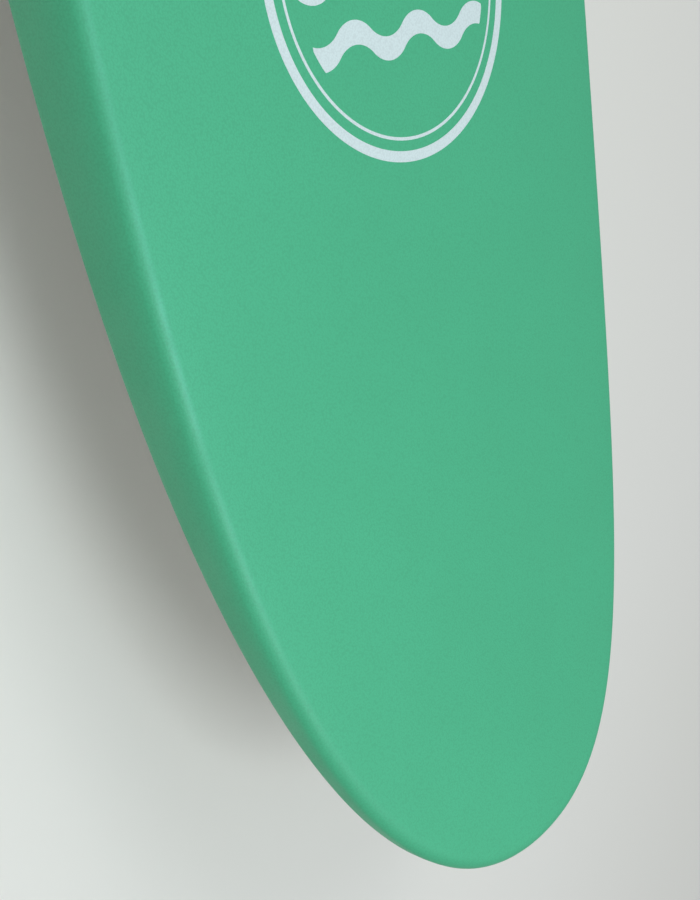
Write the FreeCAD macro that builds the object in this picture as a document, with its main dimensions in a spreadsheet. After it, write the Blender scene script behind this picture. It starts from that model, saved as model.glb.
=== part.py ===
"""Soft-top longboard surfboard: foam board, fins, fin hardware and leash plug.

Millimetres.  +X runs to the nose, +Y to the port rail and +Z up out of the deck.  The origin is
the middle of the flat panel of the bottom, amidships.  Every separate piece is an object of its
own, labelled with the name of the file that it is written to.
"""
import FreeCAD, Part
import math
import os

Vector = FreeCAD.Vector

# ---------------------------------------------------------------------------------------------
# Driving dimensions
# ---------------------------------------------------------------------------------------------
SIZES = {
    # board outline, seen from above
    "board_length": 2743.0,
    "board_width": 584.0,
    "wide_point_forward": 51.5,
    "nose_fullness": 308.0,
    "nose_shoulder": 664.0,
    "tail_fullness": 218.0,
    "tail_shoulder": 700.0,
    # board profile, seen from the side
    "board_thickness": 86.0,
    "nose_rocker": 117.0,
    "nose_kick": 0.225,
    "nose_entry": 406.0,
    "nose_belly": 532.0,
    "nose_thickness": 35.0,
    "nose_deck_entry": 305.0,
    "nose_deck_belly": 541.0,
    "tail_rocker": 80.0,
    "tail_thickness": 38.0,
    "tail_deck_kick": 0.09,
    "tail_deck_entry": 300.0,
    "tail_deck_belly": 560.0,
    "tail_straight": 420.0,
    "flat_length": 500.0,
    "deck_crown": 13.3,
    "top_rail_radius": 14.0,
    "bottom_rail_radius": 16.0,
    # laminate
    "skin_thickness": 5.0,
    "liner_thickness": 3.0,
    "slick_thickness": 1.0,
    "rail_wrap": 22.0,
    "stringer_thickness": 5.0,
    "stringer_spacing": 120.0,
    # roundel on the deck
    "emblem_setback": 734.0,
    "emblem_radius": 136.4,
    "emblem_line": 8.1,
    "emblem_inner_radius": 120.5,
    "emblem_inner_line": 2.4,
    "emblem_film": 0.4,
    "wave_field_radius": 108.0,
    "wave_chord": 36.0,
    "wave_rise": 7.5,
    "wave_band": 17.0,
    "wave_pitch": 45.0,
    # centre fin box
    "fin_box_setback": 251.0,
    "fin_box_length": 270.0,
    "fin_box_width": 27.0,
    "fin_box_height": 28.0,
    "fin_slot_length": 250.0,
    "fin_slot_width": 9.6,
    "fin_slot_depth": 25.0,
    "groove_depth": 2.3,
    "groove_height": 5.4,
    "groove_level": 8.0,
    "drop_in_length": 16.0,
    "fin_block_margin": 18.0,
    # centre fin and its hardware
    "fin_depth": 203.0,
    "fin_base": 165.0,
    "fin_rake": 118.0,
    "fin_tip_chord": 46.0,
    "fin_tab_height": 20.0,
    "fin_tab_root": 0.6,
    "fin_tongue": 17.5,
    "tongue_root": 2.0,
    "tongue_thickness": 5.0,
    "tongue_level": 1.4,
    "pin_diameter": 4.8,
    "pin_inset": 10.0,
    "screw_diameter": 4.17,
    "screw_length": 16.0,
    "screw_head_diameter": 8.0,
    "screw_head_height": 2.4,
    "plate_thickness": 3.2,
    # side fins and their plugs
    "side_fin_setback": 360.0,
    "side_fin_inset": 54.0,
    "side_fin_depth": 98.0,
    "side_fin_base": 96.0,
    "side_fin_rake": 62.0,
    "side_fin_tip_chord": 26.0,
    "side_fin_thickness": 6.0,
    "side_fin_cant": 4.0,
    "side_fin_toe": 2.5,
    "tab_length": 19.0,
    "tab_thickness": 5.2,
    "tab_depth": 10.0,
    "tab_root": 1.0,
    "tab_spacing": 54.0,
    "plug_length": 32.0,
    "plug_width": 22.0,
    "plug_height": 13.5,
    "plug_block_margin": 8.0,
    "grub_diameter": 5.0,
    "grub_length": 7.0,
    "grub_angle": 35.0,
    "grub_socket": 2.5,
    "grub_gap": 0.6,
    # leash plug
    "leash_setback": 65.0,
    "cup_flange_diameter": 36.0,
    "cup_flange_thickness": 1.6,
    "cup_diameter": 29.0,
    "cup_depth": 20.0,
    "cup_wall": 3.2,
    "leash_bar_diameter": 4.6,
    "leash_bar_level": 6.8,
    "leash_block_diameter": 60.0,
    # fits
    "fin_clearance": 0.3,
    "screw_clearance": 0.15,
    "tab_clearance": 0.2,
    "grub_clearance": 0.05,
    # how far a cutting tool runs past the face that it opens
    "overrun": 1.0,
}

document = FreeCAD.newDocument("longboard_surfboard")
sheet = document.addObject("Spreadsheet::Sheet", "Sizes")
for row, (alias, value) in enumerate(SIZES.items(), start=1):
    sheet.set("A%d" % row, alias.replace("_", " "))
    sheet.set("B%d" % row, str(value))
    sheet.setAlias("B%d" % row, alias)
document.recompute()

REACH = 400.0        # half the width of the stock that the outline is cut from
HEADROOM = 500.0     # height of that stock above the bottom
NODES = []           # labels of the finished pieces, in the order they are made


# ---------------------------------------------------------------------------------------------
# Document helpers
# ---------------------------------------------------------------------------------------------
def size(alias):
    """Number in the sheet's cell of that alias."""
    return float(getattr(sheet, alias))


def bind(thing, **sizes):
    """Bind properties of an object to the sheet; a bare word in an expression is an alias."""
    for name, expression in sizes.items():
        words = [("Sizes." + word) if word in SIZES else word for word in expression.split()]
        thing.setExpression(name, " ".join(words))
    return thing


def primitive(kind, name, base=(0, 0, 0), turn=None, **sizes):
    """Part primitive with bound sizes, placed at base and turned by turn."""
    thing = document.addObject("Part::" + kind, name)
    bind(thing, **sizes)
    thing.Placement = FreeCAD.Placement(Vector(*base), turn or FreeCAD.Rotation())
    return thing


def centred_box(name, middle, low, length, width, height, turn=None):
    """Box centred on middle (x, y), standing on the level low, with bound sizes."""
    turn = turn or FreeCAD.Rotation()
    thing = primitive("Box", name, Length=length, Width=width, Height=height)
    thing.recompute()
    corner = Vector(-thing.Length.Value / 2, -thing.Width.Value / 2, 0)
    thing.Placement = FreeCAD.Placement(Vector(middle[0], middle[1], low) + turn.multVec(corner), turn)
    return thing


def cylinder(name, base, radius, height, turn=None):
    """Cylinder standing on base, along Z unless turned, with bound sizes."""
    return primitive("Cylinder", name, base, turn, Radius=radius, Height=height)


def solid_feature(name, shape):
    """Object that holds a free-form shape made from the sheet's sizes."""
    thing = document.addObject("Part::Feature", name)
    thing.Shape = shape
    return thing


def fuse(name, pieces):
    """Several objects joined into one."""
    thing = document.addObject("Part::MultiFuse", name)
    thing.Shapes = pieces
    thing.Refine = True
    return thing


def common(name, first, second):
    """What two objects share."""
    thing = document.addObject("Part::Common", name)
    thing.Base = first
    thing.Tool = second
    return thing


def cut(name, base, tools):
    """Base less one tool, or less several joined."""
    thing = document.addObject("Part::Cut", name)
    thing.Base = base
    thing.Tool = tools[0] if len(tools) == 1 else fuse(name + "_tools", tools)
    return thing


def moved(name, source, placement):
    """Second object of the same shape at another place."""
    thing = document.addObject("Part::Compound", name)
    thing.Links = [source]
    thing.Placement = placement
    return thing


def piece(thing, label, placement=None):
    """Make an object one of the finished pieces."""
    thing.Label = label
    if placement is not None:
        thing.Placement = placement
    NODES.append(thing)
    return thing


# ---------------------------------------------------------------------------------------------
# Board outline and profile
# ---------------------------------------------------------------------------------------------
HALF_LENGTH = size("board_length") / 2
HALF_WIDTH = size("board_width") / 2
WIDE_X = size("wide_point_forward")
FLAT_END = size("flat_length") / 2
TAIL_RUN = HALF_LENGTH - FLAT_END - size("tail_straight")
TAIL_SLOPE = size("tail_rocker") / (size("tail_straight") + TAIL_RUN / 2)


def bezier(*poles):
    """Bezier curve through the first and last of its poles."""
    curve = Part.BezierCurve()
    curve.setPoles([Vector(*pole) for pole in poles])
    return curve


def joined(first, second):
    """One smooth spline from two Bezier curves that meet with the same tangent."""
    spline = first.toBSpline()
    spline.join(second.toBSpline())
    return spline


def outline_side(inset, side):
    """Half of the outline, from nose to tail, set in by inset; side is 1 for port, -1 for starboard."""
    half_width = HALF_WIDTH - inset
    end = HALF_LENGTH - inset
    share = half_width / HALF_WIDTH
    nose_across = side * size("nose_fullness") * share
    tail_across = side * size("tail_fullness") * share
    widest = side * half_width
    nose = bezier((end, 0, 0), (end, nose_across, 0), (WIDE_X + size("nose_shoulder"), widest, 0),
                  (WIDE_X, widest, 0))
    tail = bezier((WIDE_X, widest, 0), (WIDE_X - size("tail_shoulder"), widest, 0),
                  (-end, tail_across, 0), (-end, 0, 0))
    return joined(nose, tail)


def outline_prism(inset):
    """Upright stock with the board's outline, set in by inset."""
    wire = Part.Wire([outline_side(inset, 1).toShape(), outline_side(inset, -1).toShape()])
    prism = Part.Face(wire).extrude(Vector(0, 0, HEADROOM))
    prism.translate(Vector(0, 0, -HEADROOM / 4))
    return prism


def deck_profile():
    """Height of the deck along the centreline, from nose to tail."""
    nose_top = size("nose_rocker") + size("nose_thickness")
    tail_top = size("tail_rocker") + size("tail_thickness")
    thick = size("board_thickness")
    nose_entry = size("nose_deck_entry")
    tail_entry = size("tail_deck_entry")
    nose = bezier((HALF_LENGTH, 0, nose_top),
                  (HALF_LENGTH - nose_entry, 0, nose_top - size("nose_kick") * nose_entry),
                  (WIDE_X + size("nose_deck_belly"), 0, thick),
                  (WIDE_X, 0, thick))
    tail = bezier((WIDE_X, 0, thick),
                  (WIDE_X - size("tail_deck_belly"), 0, thick),
                  (-HALF_LENGTH + tail_entry, 0, tail_top - size("tail_deck_kick") * tail_entry),
                  (-HALF_LENGTH, 0, tail_top))
    return joined(nose, tail)


def deck_surface(drop):
    """Deck with its crown across the board, lowered by drop: the profile swept along a parabola."""
    sag = size("deck_crown") * (REACH / HALF_WIDTH) ** 2
    profile = deck_profile()
    crown = ((-REACH, -sag), (0, sag), (REACH, -sag))
    poles = [[Vector(pole.x, y, pole.z + lift - drop) for y, lift in crown]
             for pole in profile.getPoles()]
    surface = Part.BSplineSurface()
    surface.buildFromPolesMultsKnots(poles, profile.getMultiplicities(), [3, 3],
                                     profile.getKnots(), [0, 1], False, False, profile.Degree, 2)
    return surface


def bottom_edges(lift):
    """Edges of the bottom profile from tail to nose, raised by lift, at the starboard side of the stock."""
    nose_entry = size("nose_entry")
    tail_x = -HALF_LENGTH + size("tail_straight")
    tail_z = size("tail_rocker") - TAIL_SLOPE * size("tail_straight")
    points = {
        "tail": (-HALF_LENGTH, -REACH, size("tail_rocker") + lift),
        "tail_curve": (tail_x, -REACH, tail_z + lift),
        "tail_middle": ((tail_x - FLAT_END) / 2, -REACH, lift),
        "flat_back": (-FLAT_END, -REACH, lift),
        "flat_front": (FLAT_END, -REACH, lift),
        "belly": (FLAT_END + size("nose_belly"), -REACH, lift),
        "entry": (HALF_LENGTH - nose_entry, -REACH,
                  size("nose_rocker") - size("nose_kick") * nose_entry + lift),
        "nose": (HALF_LENGTH, -REACH, size("nose_rocker") + lift),
    }
    straight = Part.makeLine(Vector(*points["tail"]), Vector(*points["tail_curve"]))
    rise = bezier(points["tail_curve"], points["tail_middle"], points["flat_back"]).toShape()
    flat = Part.makeLine(Vector(*points["flat_back"]), Vector(*points["flat_front"]))
    scoop = bezier(points["flat_front"], points["belly"], points["entry"], points["nose"]).toShape()
    return [straight, rise, flat, scoop]


def profile_slab(low, high):
    """Stock whose underside is the bottom raised by low, up to the bottom raised by high."""
    lower = bottom_edges(low)
    upper = bottom_edges(high)
    ends = [Part.makeLine(Vector(x, -REACH, size(rocker) + low), Vector(x, -REACH, size(rocker) + high))
            for x, rocker in ((-HALF_LENGTH, "tail_rocker"), (HALF_LENGTH, "nose_rocker"))]
    wire = Part.Wire(Part.__sortEdges__(lower + upper + ends))
    return Part.Face(wire).extrude(Vector(0, 2 * REACH, 0))


WALL_LIMIT = 0.3      # a face whose normal is nearer level than this is the rail's wall
CAP_LIMIT = 0.9       # a face whose normal is more upright than this is the deck or the bottom
PROBE_INWARD = 0.99   # share of an edge's place at which the solid is probed
PROBE_DEPTH = 2.0     # how far below or above the edge the solid is probed


def upright(face):
    """How far a face's normal is from level, 0 for a wall and 1 for a cap."""
    first_u, last_u, first_v, last_v = face.ParameterRange
    return abs(face.normalAt((first_u + last_u) / 2, (first_v + last_v) / 2).z)


def rail_edges(solid, up):
    """Edges between the upright rail and the deck (up is 1) or the bottom (up is -1)."""
    found = []
    for edge in solid.Edges:
        faces = sorted(solid.ancestorsOfType(edge, Part.Face), key=upright)
        if len(faces) != 2 or upright(faces[0]) > WALL_LIMIT or upright(faces[1]) < CAP_LIMIT:
            continue
        middle = edge.valueAt((edge.FirstParameter + edge.LastParameter) / 2)
        probe = Vector(middle.x * PROBE_INWARD, middle.y * PROBE_INWARD, middle.z - PROBE_DEPTH * up)
        if solid.isInside(probe, 0.001, False):
            found.append(edge)
    return found


def board_form(side_inset, top_inset, bottom_inset):
    """Solid of the whole board, set in from its rails, its deck and its bottom."""
    below_deck = deck_surface(top_inset).toShape().extrude(Vector(0, 0, -HEADROOM))
    above_bottom = profile_slab(bottom_inset, HEADROOM)
    solid = outline_prism(side_inset).common(below_deck).common(above_bottom).Solids[0]
    solid = solid.makeFillet(size("top_rail_radius") - top_inset, rail_edges(solid, 1))
    solid = solid.makeFillet(size("bottom_rail_radius") - bottom_inset, rail_edges(solid, -1))
    return solid.Solids[0]


def point_at(curve, x):
    """Parameter of the point of a nose-to-tail curve that is level with x."""
    low, high = curve.FirstParameter, curve.LastParameter
    for _ in range(60):
        middle = (low + high) / 2
        if curve.value(middle).x > x:
            low = middle
        else:
            high = middle
    return (low + high) / 2


bottom_skin = size("liner_thickness") + size("slick_thickness")
outer_form = solid_feature("outer_form", board_form(0, 0, 0))
foam_skin = size("skin_thickness")
core_form = solid_feature("core_form", board_form(foam_skin, foam_skin, bottom_skin))
panel_stock = solid_feature("panel_stock", outline_prism(size("rail_wrap")))
slick_slab = solid_feature("slick_slab", profile_slab(0, size("slick_thickness")))
liner_slab = solid_feature("liner_slab", profile_slab(size("slick_thickness"), bottom_skin))
film_slab = solid_feature("film_slab",
                          deck_surface(0).toShape().extrude(Vector(0, 0, -size("emblem_film"))))

# ---------------------------------------------------------------------------------------------
# Frames that the fittings are set in
# ---------------------------------------------------------------------------------------------
PITCH_AXIS = Vector(0, 1, 0)
TAIL_PITCH = math.degrees(math.atan(TAIL_SLOPE))


def on_bottom(setback, y):
    """Frame on the straight part of the tail's bottom, +Z into the board, setback from the tail."""
    x = -HALF_LENGTH + setback
    z = size("tail_rocker") - TAIL_SLOPE * setback
    return FreeCAD.Placement(Vector(x, y, z), FreeCAD.Rotation(PITCH_AXIS, TAIL_PITCH))


def on_deck(setback):
    """Frame on the centreline of the deck, +Z out of the board, setback from the tail."""
    profile = deck_profile()
    parameter = point_at(profile, -HALF_LENGTH + setback)
    tangent = profile.tangent(parameter)[0]
    pitch = math.degrees(math.atan2(tangent.z, -tangent.x))
    return FreeCAD.Placement(profile.value(parameter), FreeCAD.Rotation(PITCH_AXIS, pitch))


def stadium(name, length, width, height):
    """Round-ended block standing on its face, with bound sizes; the expressions are aliases."""
    bar = centred_box(name + "_bar", (0, 0), 0, length + " - " + width, width, height)
    reach = bar.Length.Value / 2
    ends = [cylinder(name + end, (sign * reach, 0, 0), width + " / 2", height)
            for end, sign in (("_front", 1), ("_back", -1))]
    return fuse(name, [bar] + ends)


# ---------------------------------------------------------------------------------------------
# Centre fin box and the block around it
# ---------------------------------------------------------------------------------------------
fin_frame = on_bottom(size("fin_box_setback"), 0)
box_stock = stadium("box_stock", "fin_box_length", "fin_box_width", "fin_box_height")
fin_slot = centred_box("fin_slot", (0, 0), 0, "fin_slot_length", "fin_slot_width", "fin_slot_depth")
GROOVE_WIDTH = "fin_slot_width + 2 * groove_depth"
grooves = centred_box("grooves", (0, 0), size("groove_level"), "fin_slot_length", GROOVE_WIDTH,
                      "groove_height")
drop_in = centred_box("drop_in", (0, 0), 0, "drop_in_length", GROOVE_WIDTH,
                      "groove_level + groove_height")
piece(cut("fin_box_cut", box_stock, [fin_slot, grooves, drop_in]), "fin_box", fin_frame)
box_seat = moved("box_seat", box_stock, fin_frame)

block_middle = (fin_frame.Base.x, 0)
fin_block_stock = centred_box("fin_block_stock", block_middle, 0, "fin_box_length + 2 * fin_block_margin",
                              "fin_box_width + 2 * fin_block_margin", "2 * board_thickness")
fin_block_full = common("fin_block_full", core_form, fin_block_stock)
piece(cut("fin_block_cut", fin_block_full, [box_seat]), "fin_box_block")


# ---------------------------------------------------------------------------------------------
# Fins
# ---------------------------------------------------------------------------------------------
SECTION_HEIGHTS = (0.0, 0.16, 0.32, 0.48, 0.64, 0.78, 0.87, 0.94, 0.98, 0.997)
TIP_ROUND = 0.78         # share of the depth above which the tip is rounded off
BASE_TAPER = 1.15        # power by which the base's chord dies away towards the tip
TIP_SPREAD = 0.8         # power by which the tip's chord comes in
RAKE_POWER = 1.6         # power by which the fin sweeps back
THICKNESS_TAPER = 0.62   # share of the thickness lost from base to tip
FOIL_NOSE = 1.25         # poles of the foil, as shares of half its thickness
FOIL_BELLY = 1.35
FLAT_SWELL = 0.35        # swell of a side fin's inner face, as a share of its outer one's
HALF_STERN = 0.5         # half the thickness of the trailing edge


def foil_section(middle, chord, thickness, z, one_sided):
    """Closed foil at the level z, round at the front and thin at the back."""
    front = middle + chord / 2
    back = middle - chord / 2
    half = thickness / 2
    wires = []
    for side in (1, -1):
        flat = one_sided and side < 0
        swell = side * (half * FLAT_SWELL if flat else half)
        wires.append(bezier((front, 0, z), (front, swell * FOIL_NOSE, z), (middle, swell * FOIL_BELLY, z),
                            (back, side * HALF_STERN, z)).toShape())
    stern = Part.makeLine(Vector(back, HALF_STERN, z), Vector(back, -HALF_STERN, z))
    return Part.Wire([wires[0], stern, wires[1]])


def blade(base, rake, tip_chord, depth, thickness, top, one_sided):
    """Foiled blade that hangs down from the level top, its base centred on the origin."""
    sections = []
    for share in SECTION_HEIGHTS:
        chord = base * (1 - share) ** BASE_TAPER + tip_chord * share ** TIP_SPREAD
        if share > TIP_ROUND:
            past = (share - TIP_ROUND) / (1 - TIP_ROUND)
            chord *= math.sqrt(1 - past ** 2)
        middle = -rake * share ** RAKE_POWER
        local = thickness * (1 - THICKNESS_TAPER * share)
        sections.append(foil_section(middle, chord, local, top - share * (depth + top), one_sided))
    return Part.makeLoft(sections, True, False)


fin_total = size("fin_base") + size("fin_tongue")
tab_middle = -size("fin_tongue") / 2
fin_thickness = size("fin_slot_width") - 2 * size("fin_clearance")
fin_blade = solid_feature("fin_blade", blade(size("fin_base"), size("fin_rake"), size("fin_tip_chord"),
                                             size("fin_depth"), fin_thickness, 0.0, False))
fin_blade.Placement = FreeCAD.Placement(Vector(tab_middle, 0, 0), FreeCAD.Rotation())
FIN_THICKNESS = "fin_slot_width - 2 * fin_clearance"
fin_tab = centred_box("fin_tab", (tab_middle, 0), -size("fin_tab_root"), "fin_base", FIN_THICKNESS,
                      "fin_tab_height")
tongue_front = fin_total / 2
tongue_middle = tongue_front - (size("fin_tongue") + size("tongue_root")) / 2
fin_tongue = centred_box("fin_tongue_stock", (tongue_middle, 0), size("tongue_level"),
                         "fin_tongue + tongue_root", FIN_THICKNESS, "tongue_thickness")
screw_x = tongue_front - size("fin_tongue") / 2
pin_x = -fin_total / 2 + size("pin_inset")
pin_z = size("groove_level") + size("groove_height") / 2
across = FreeCAD.Rotation(Vector(1, 0, 0), -90)
PIN_LENGTH = GROOVE_WIDTH + " - 2 * fin_clearance"
pin_start = -(size("fin_slot_width") / 2 + size("groove_depth") - size("fin_clearance"))
pin_hole = cylinder("pin_hole", (pin_x, pin_start, pin_z), "pin_diameter / 2", PIN_LENGTH, across)
screw_hole = cylinder("screw_hole", (screw_x, 0, 0), "screw_diameter / 2 + screw_clearance",
                      "fin_tab_height")
fin_whole = fuse("fin_whole", [fin_blade, fin_tab, fin_tongue])
piece(cut("fin_cut", fin_whole, [pin_hole, screw_hole]), "centre_fin", fin_frame)
fin_pin = cylinder("fin_pin_stock", (pin_x, pin_start, pin_z), "pin_diameter / 2", PIN_LENGTH, across)
piece(moved("fin_pin_set", fin_pin, fin_frame), "fin_pin")

# square nut plate in the grooves, and the screw that draws it against the lips
plate_level = size("groove_level") + size("fin_clearance")
plate_stock = centred_box("plate_stock", (screw_x, 0), plate_level, PIN_LENGTH, PIN_LENGTH,
                          "plate_thickness")
plate_bore = cylinder("plate_bore", (screw_x, 0, plate_level - size("overrun")),
                      "screw_diameter / 2 + screw_clearance", "plate_thickness + 2 * overrun")
piece(cut("plate_cut", plate_stock, [plate_bore]), "fin_plate", fin_frame)

head_level = size("tongue_level") - size("screw_head_height")
screw_head = cylinder("screw_head", (screw_x, 0, head_level), "screw_head_diameter / 2",
                      "screw_head_height")
screw_shank = cylinder("screw_shank", (screw_x, 0, size("tongue_level")), "screw_diameter / 2",
                       "screw_length")
screw_slot = centred_box("screw_slot", (screw_x, 0), head_level, "screw_head_diameter + overrun",
                         "screw_head_height / 2", "screw_head_height / 2")
screw_whole = fuse("screw_whole", [screw_head, screw_shank])
piece(cut("screw_cut", screw_whole, [screw_slot]), "fin_screw", fin_frame)

# ---------------------------------------------------------------------------------------------
# Side fins, each on two tabs held by a grub screw in a plug
# ---------------------------------------------------------------------------------------------
GRUB_LEVEL = 0.55    # share of the tab's depth at which the grub screw bears on it
GRUB_BEVEL = 0.35    # share of the screw's diameter that its leaning point stands back
side_x = -HALF_LENGTH + size("side_fin_setback")
port_outline = outline_side(0, 1)
side_y = port_outline.value(point_at(port_outline, side_x)).y - size("side_fin_inset")
plug_seats = {}
for side_name, side in (("left", 1), ("right", -1)):
    toe = FreeCAD.Rotation(Vector(0, 0, 1), -side * size("side_fin_toe"))
    cant = FreeCAD.Rotation(Vector(1, 0, 0), side * size("side_fin_cant"))
    seat = on_bottom(size("side_fin_setback"), side * side_y)
    frame = FreeCAD.Placement(seat.Base, seat.Rotation * toe)
    stations = (size("tab_spacing") / 2, -size("tab_spacing") / 2)
    lean = FreeCAD.Rotation(Vector(1, 0, 0), side * size("grub_angle"))
    tab_side = side * (size("tab_thickness") / 2 + size("tab_clearance"))
    grub_end = Vector(0, tab_side + side * size("grub_gap"), size("tab_depth") * GRUB_LEVEL)
    grub_axis = lean.multVec(Vector(0, 0, 1))
    grub_reach = grub_end - grub_axis * (size("grub_length") + size("grub_diameter") * GRUB_BEVEL)
    tabs, plugs, screws, seats = [], [], [], []
    for number, station in enumerate(stations):
        tag = "%s_%d" % (side_name, number)
        at = FreeCAD.Placement(Vector(station, 0, 0), FreeCAD.Rotation())
        plug_stock = stadium("plug_stock_" + tag, "plug_length", "plug_width", "plug_height")
        tab_slot = centred_box("tab_slot_" + tag, (0, 0), -size("overrun"),
                               "tab_length + 2 * tab_clearance", "tab_thickness + 2 * tab_clearance",
                               "tab_depth + tab_clearance + overrun", cant)
        start = grub_reach - grub_axis * size("grub_length")
        grub_bore = cylinder("grub_bore_" + tag, tuple(start), "grub_diameter / 2 + grub_clearance",
                             "3 * grub_length", lean)
        plug = cut("plug_" + tag, plug_stock, [tab_slot, grub_bore])
        plugs.append(moved("plug_set_" + tag, plug, at))
        seats.append(moved("plug_seat_" + tag, plug_stock, at))
        tabs.append(centred_box("tab_" + tag, (station, 0), -size("tab_root"), "tab_length",
                                "tab_thickness", "tab_depth + tab_root", cant))
        grub_stock = cylinder("grub_stock_" + tag, tuple(grub_reach), "grub_diameter / 2", "grub_length",
                              lean)
        socket = primitive("Prism", "grub_socket_" + tag, tuple(grub_reach), lean,
                           Circumradius="grub_socket / 2", Height="grub_length / 3")
        grub = cut("grub_" + tag, grub_stock, [socket])
        screws.append(moved("grub_set_" + tag, grub, at))
    fin_shape = blade(size("side_fin_base"), size("side_fin_rake"), size("side_fin_tip_chord"),
                      size("side_fin_depth"), size("side_fin_thickness"), -size("fin_clearance"), True)
    if side < 0:
        fin_shape = fin_shape.mirror(Vector(0, 0, 0), Vector(0, 1, 0))
    side_blade = solid_feature("side_blade_" + side_name, fin_shape)
    side_blade.Placement = FreeCAD.Placement(Vector(0, 0, 0), cant)
    piece(fuse("side_fin_" + side_name + "_whole", [side_blade] + tabs), "side_fin_" + side_name, frame)
    for label, group in (("side_plugs_", plugs), ("grub_screws_", screws)):
        gathered = document.addObject("Part::Compound", label + side_name + "_set")
        gathered.Links = group
        piece(gathered, label + side_name, frame)
    plug_seats[side] = document.addObject("Part::Compound", "plug_seats_" + side_name)
    plug_seats[side].Links = seats
    plug_seats[side].Placement = frame
    block_stock = centred_box("plug_block_stock_" + side_name, (side_x, side * side_y), 0,
                              "tab_spacing + plug_length + 2 * plug_block_margin",
                              "plug_width + 2 * plug_block_margin", "2 * board_thickness")
    block_full = common("plug_block_full_" + side_name, core_form, block_stock)
    piece(cut("plug_block_cut_" + side_name, block_full, [plug_seats[side]]), "plug_block_" + side_name)

# ---------------------------------------------------------------------------------------------
# Leash plug in the deck near the tail
# ---------------------------------------------------------------------------------------------
leash_frame = on_deck(size("leash_setback"))
cup_barrel = cylinder("cup_barrel", (0, 0, -size("cup_depth")), "cup_diameter / 2", "cup_depth")
cup_flange = cylinder("cup_flange", (0, 0, -size("cup_flange_thickness")), "cup_flange_diameter / 2",
                      "cup_flange_thickness")
cup_stock = fuse("cup_stock", [cup_barrel, cup_flange])
# the bar's ends are moulded into the walls, two thirds of the way through them
cup_bore = cylinder("cup_bore", (0, 0, -size("cup_depth") + size("cup_wall")),
                    "cup_diameter / 2 - cup_wall", "cup_depth")
bar_half = size("cup_diameter") / 2 - size("cup_wall") / 3
leash_bar = cylinder("leash_bar_stock", (0, -bar_half, -size("leash_bar_level")), "leash_bar_diameter / 2",
                     "cup_diameter - 2 * cup_wall / 3", across)
piece(cut("cup_cut", cup_stock, [cup_bore, leash_bar]), "leash_cup", leash_frame)
piece(moved("leash_bar_set", leash_bar, leash_frame), "leash_bar")
cup_seat = moved("cup_seat", cup_stock, leash_frame)
leash_post = cylinder("leash_post", (leash_frame.Base.x, 0, 0), "leash_block_diameter / 2",
                      "2 * board_thickness")
leash_full = common("leash_full", core_form, leash_post)
piece(cut("leash_block_cut", leash_full, [cup_seat]), "leash_block")

# ---------------------------------------------------------------------------------------------
# Core in three lengths of foam with two stringers between them
# ---------------------------------------------------------------------------------------------
spacing = size("stringer_spacing")
thin = size("stringer_thickness")
stringer_stocks = {}
for side_name, side in (("left", 1), ("right", -1)):
    stock = centred_box("stringer_stock_" + side_name, (0, side * spacing / 2), 0, "board_length",
                        "stringer_thickness", "4 * board_thickness")
    piece(common("stringer_whole_" + side_name, core_form, stock), "stringer_" + side_name)

centre_stock = centred_box("centre_stock", (0, 0), 0, "board_length",
                           "stringer_spacing - stringer_thickness", "4 * board_thickness")
centre_full = common("centre_full", core_form, centre_stock)
piece(cut("centre_cut", centre_full, [fin_block_stock, leash_post]), "core_centre")
for side_name, side in (("left", 1), ("right", -1)):
    inner = (spacing + thin) / 2
    stock = primitive("Box", "side_stock_" + side_name, Length="board_length", Width="board_width",
                      Height="4 * board_thickness")
    corner_y = inner if side > 0 else -inner - size("board_width")
    stock.Placement = FreeCAD.Placement(Vector(-HALF_LENGTH, corner_y, 0), FreeCAD.Rotation())
    full = common("side_full_" + side_name, core_form, stock)
    block_stock = document.getObject("plug_block_stock_" + side_name)
    piece(cut("side_cut_" + side_name, full, [block_stock]), "core_" + side_name)


# ---------------------------------------------------------------------------------------------
# Roundel on the deck: two rings and three wave bands, printed on thin film
# ---------------------------------------------------------------------------------------------
def ring_stock(name, middle, radius, line):
    """Upright ring of that outer radius and line width, both expressions of the sheet."""
    outside = cylinder(name + "_outside", middle, radius, "4 * board_thickness")
    inside = cylinder(name + "_inside", middle, radius + " - " + line, "4 * board_thickness")
    return cut(name, outside, [inside])


def wave_edge(x, count):
    """Wave across the board at x: arcs of one chord that bulge forward and back in turn."""
    chord = size("wave_chord")
    rise = size("wave_rise")
    edges = []
    for step in range(-count, count):
        start = step * chord
        bulge = rise if step % 2 else -rise
        points = (Vector(x, start, 0), Vector(x + bulge, start + chord / 2, 0), Vector(x, start + chord, 0))
        edges.append(Part.Arc(*points).toShape())
    return edges


def wave_stock(x, count):
    """Upright wall between a wave and its copy one band further forward."""
    half = count * size("wave_chord")
    band = size("wave_band")
    ends = [Part.makeLine(Vector(x - band / 2, y, 0), Vector(x + band / 2, y, 0)) for y in (-half, half)]
    edges = wave_edge(x - band / 2, count) + wave_edge(x + band / 2, count) + ends
    face = Part.Face(Part.Wire(Part.__sortEdges__(edges)))
    return face.extrude(Vector(0, 0, HEADROOM))


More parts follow.
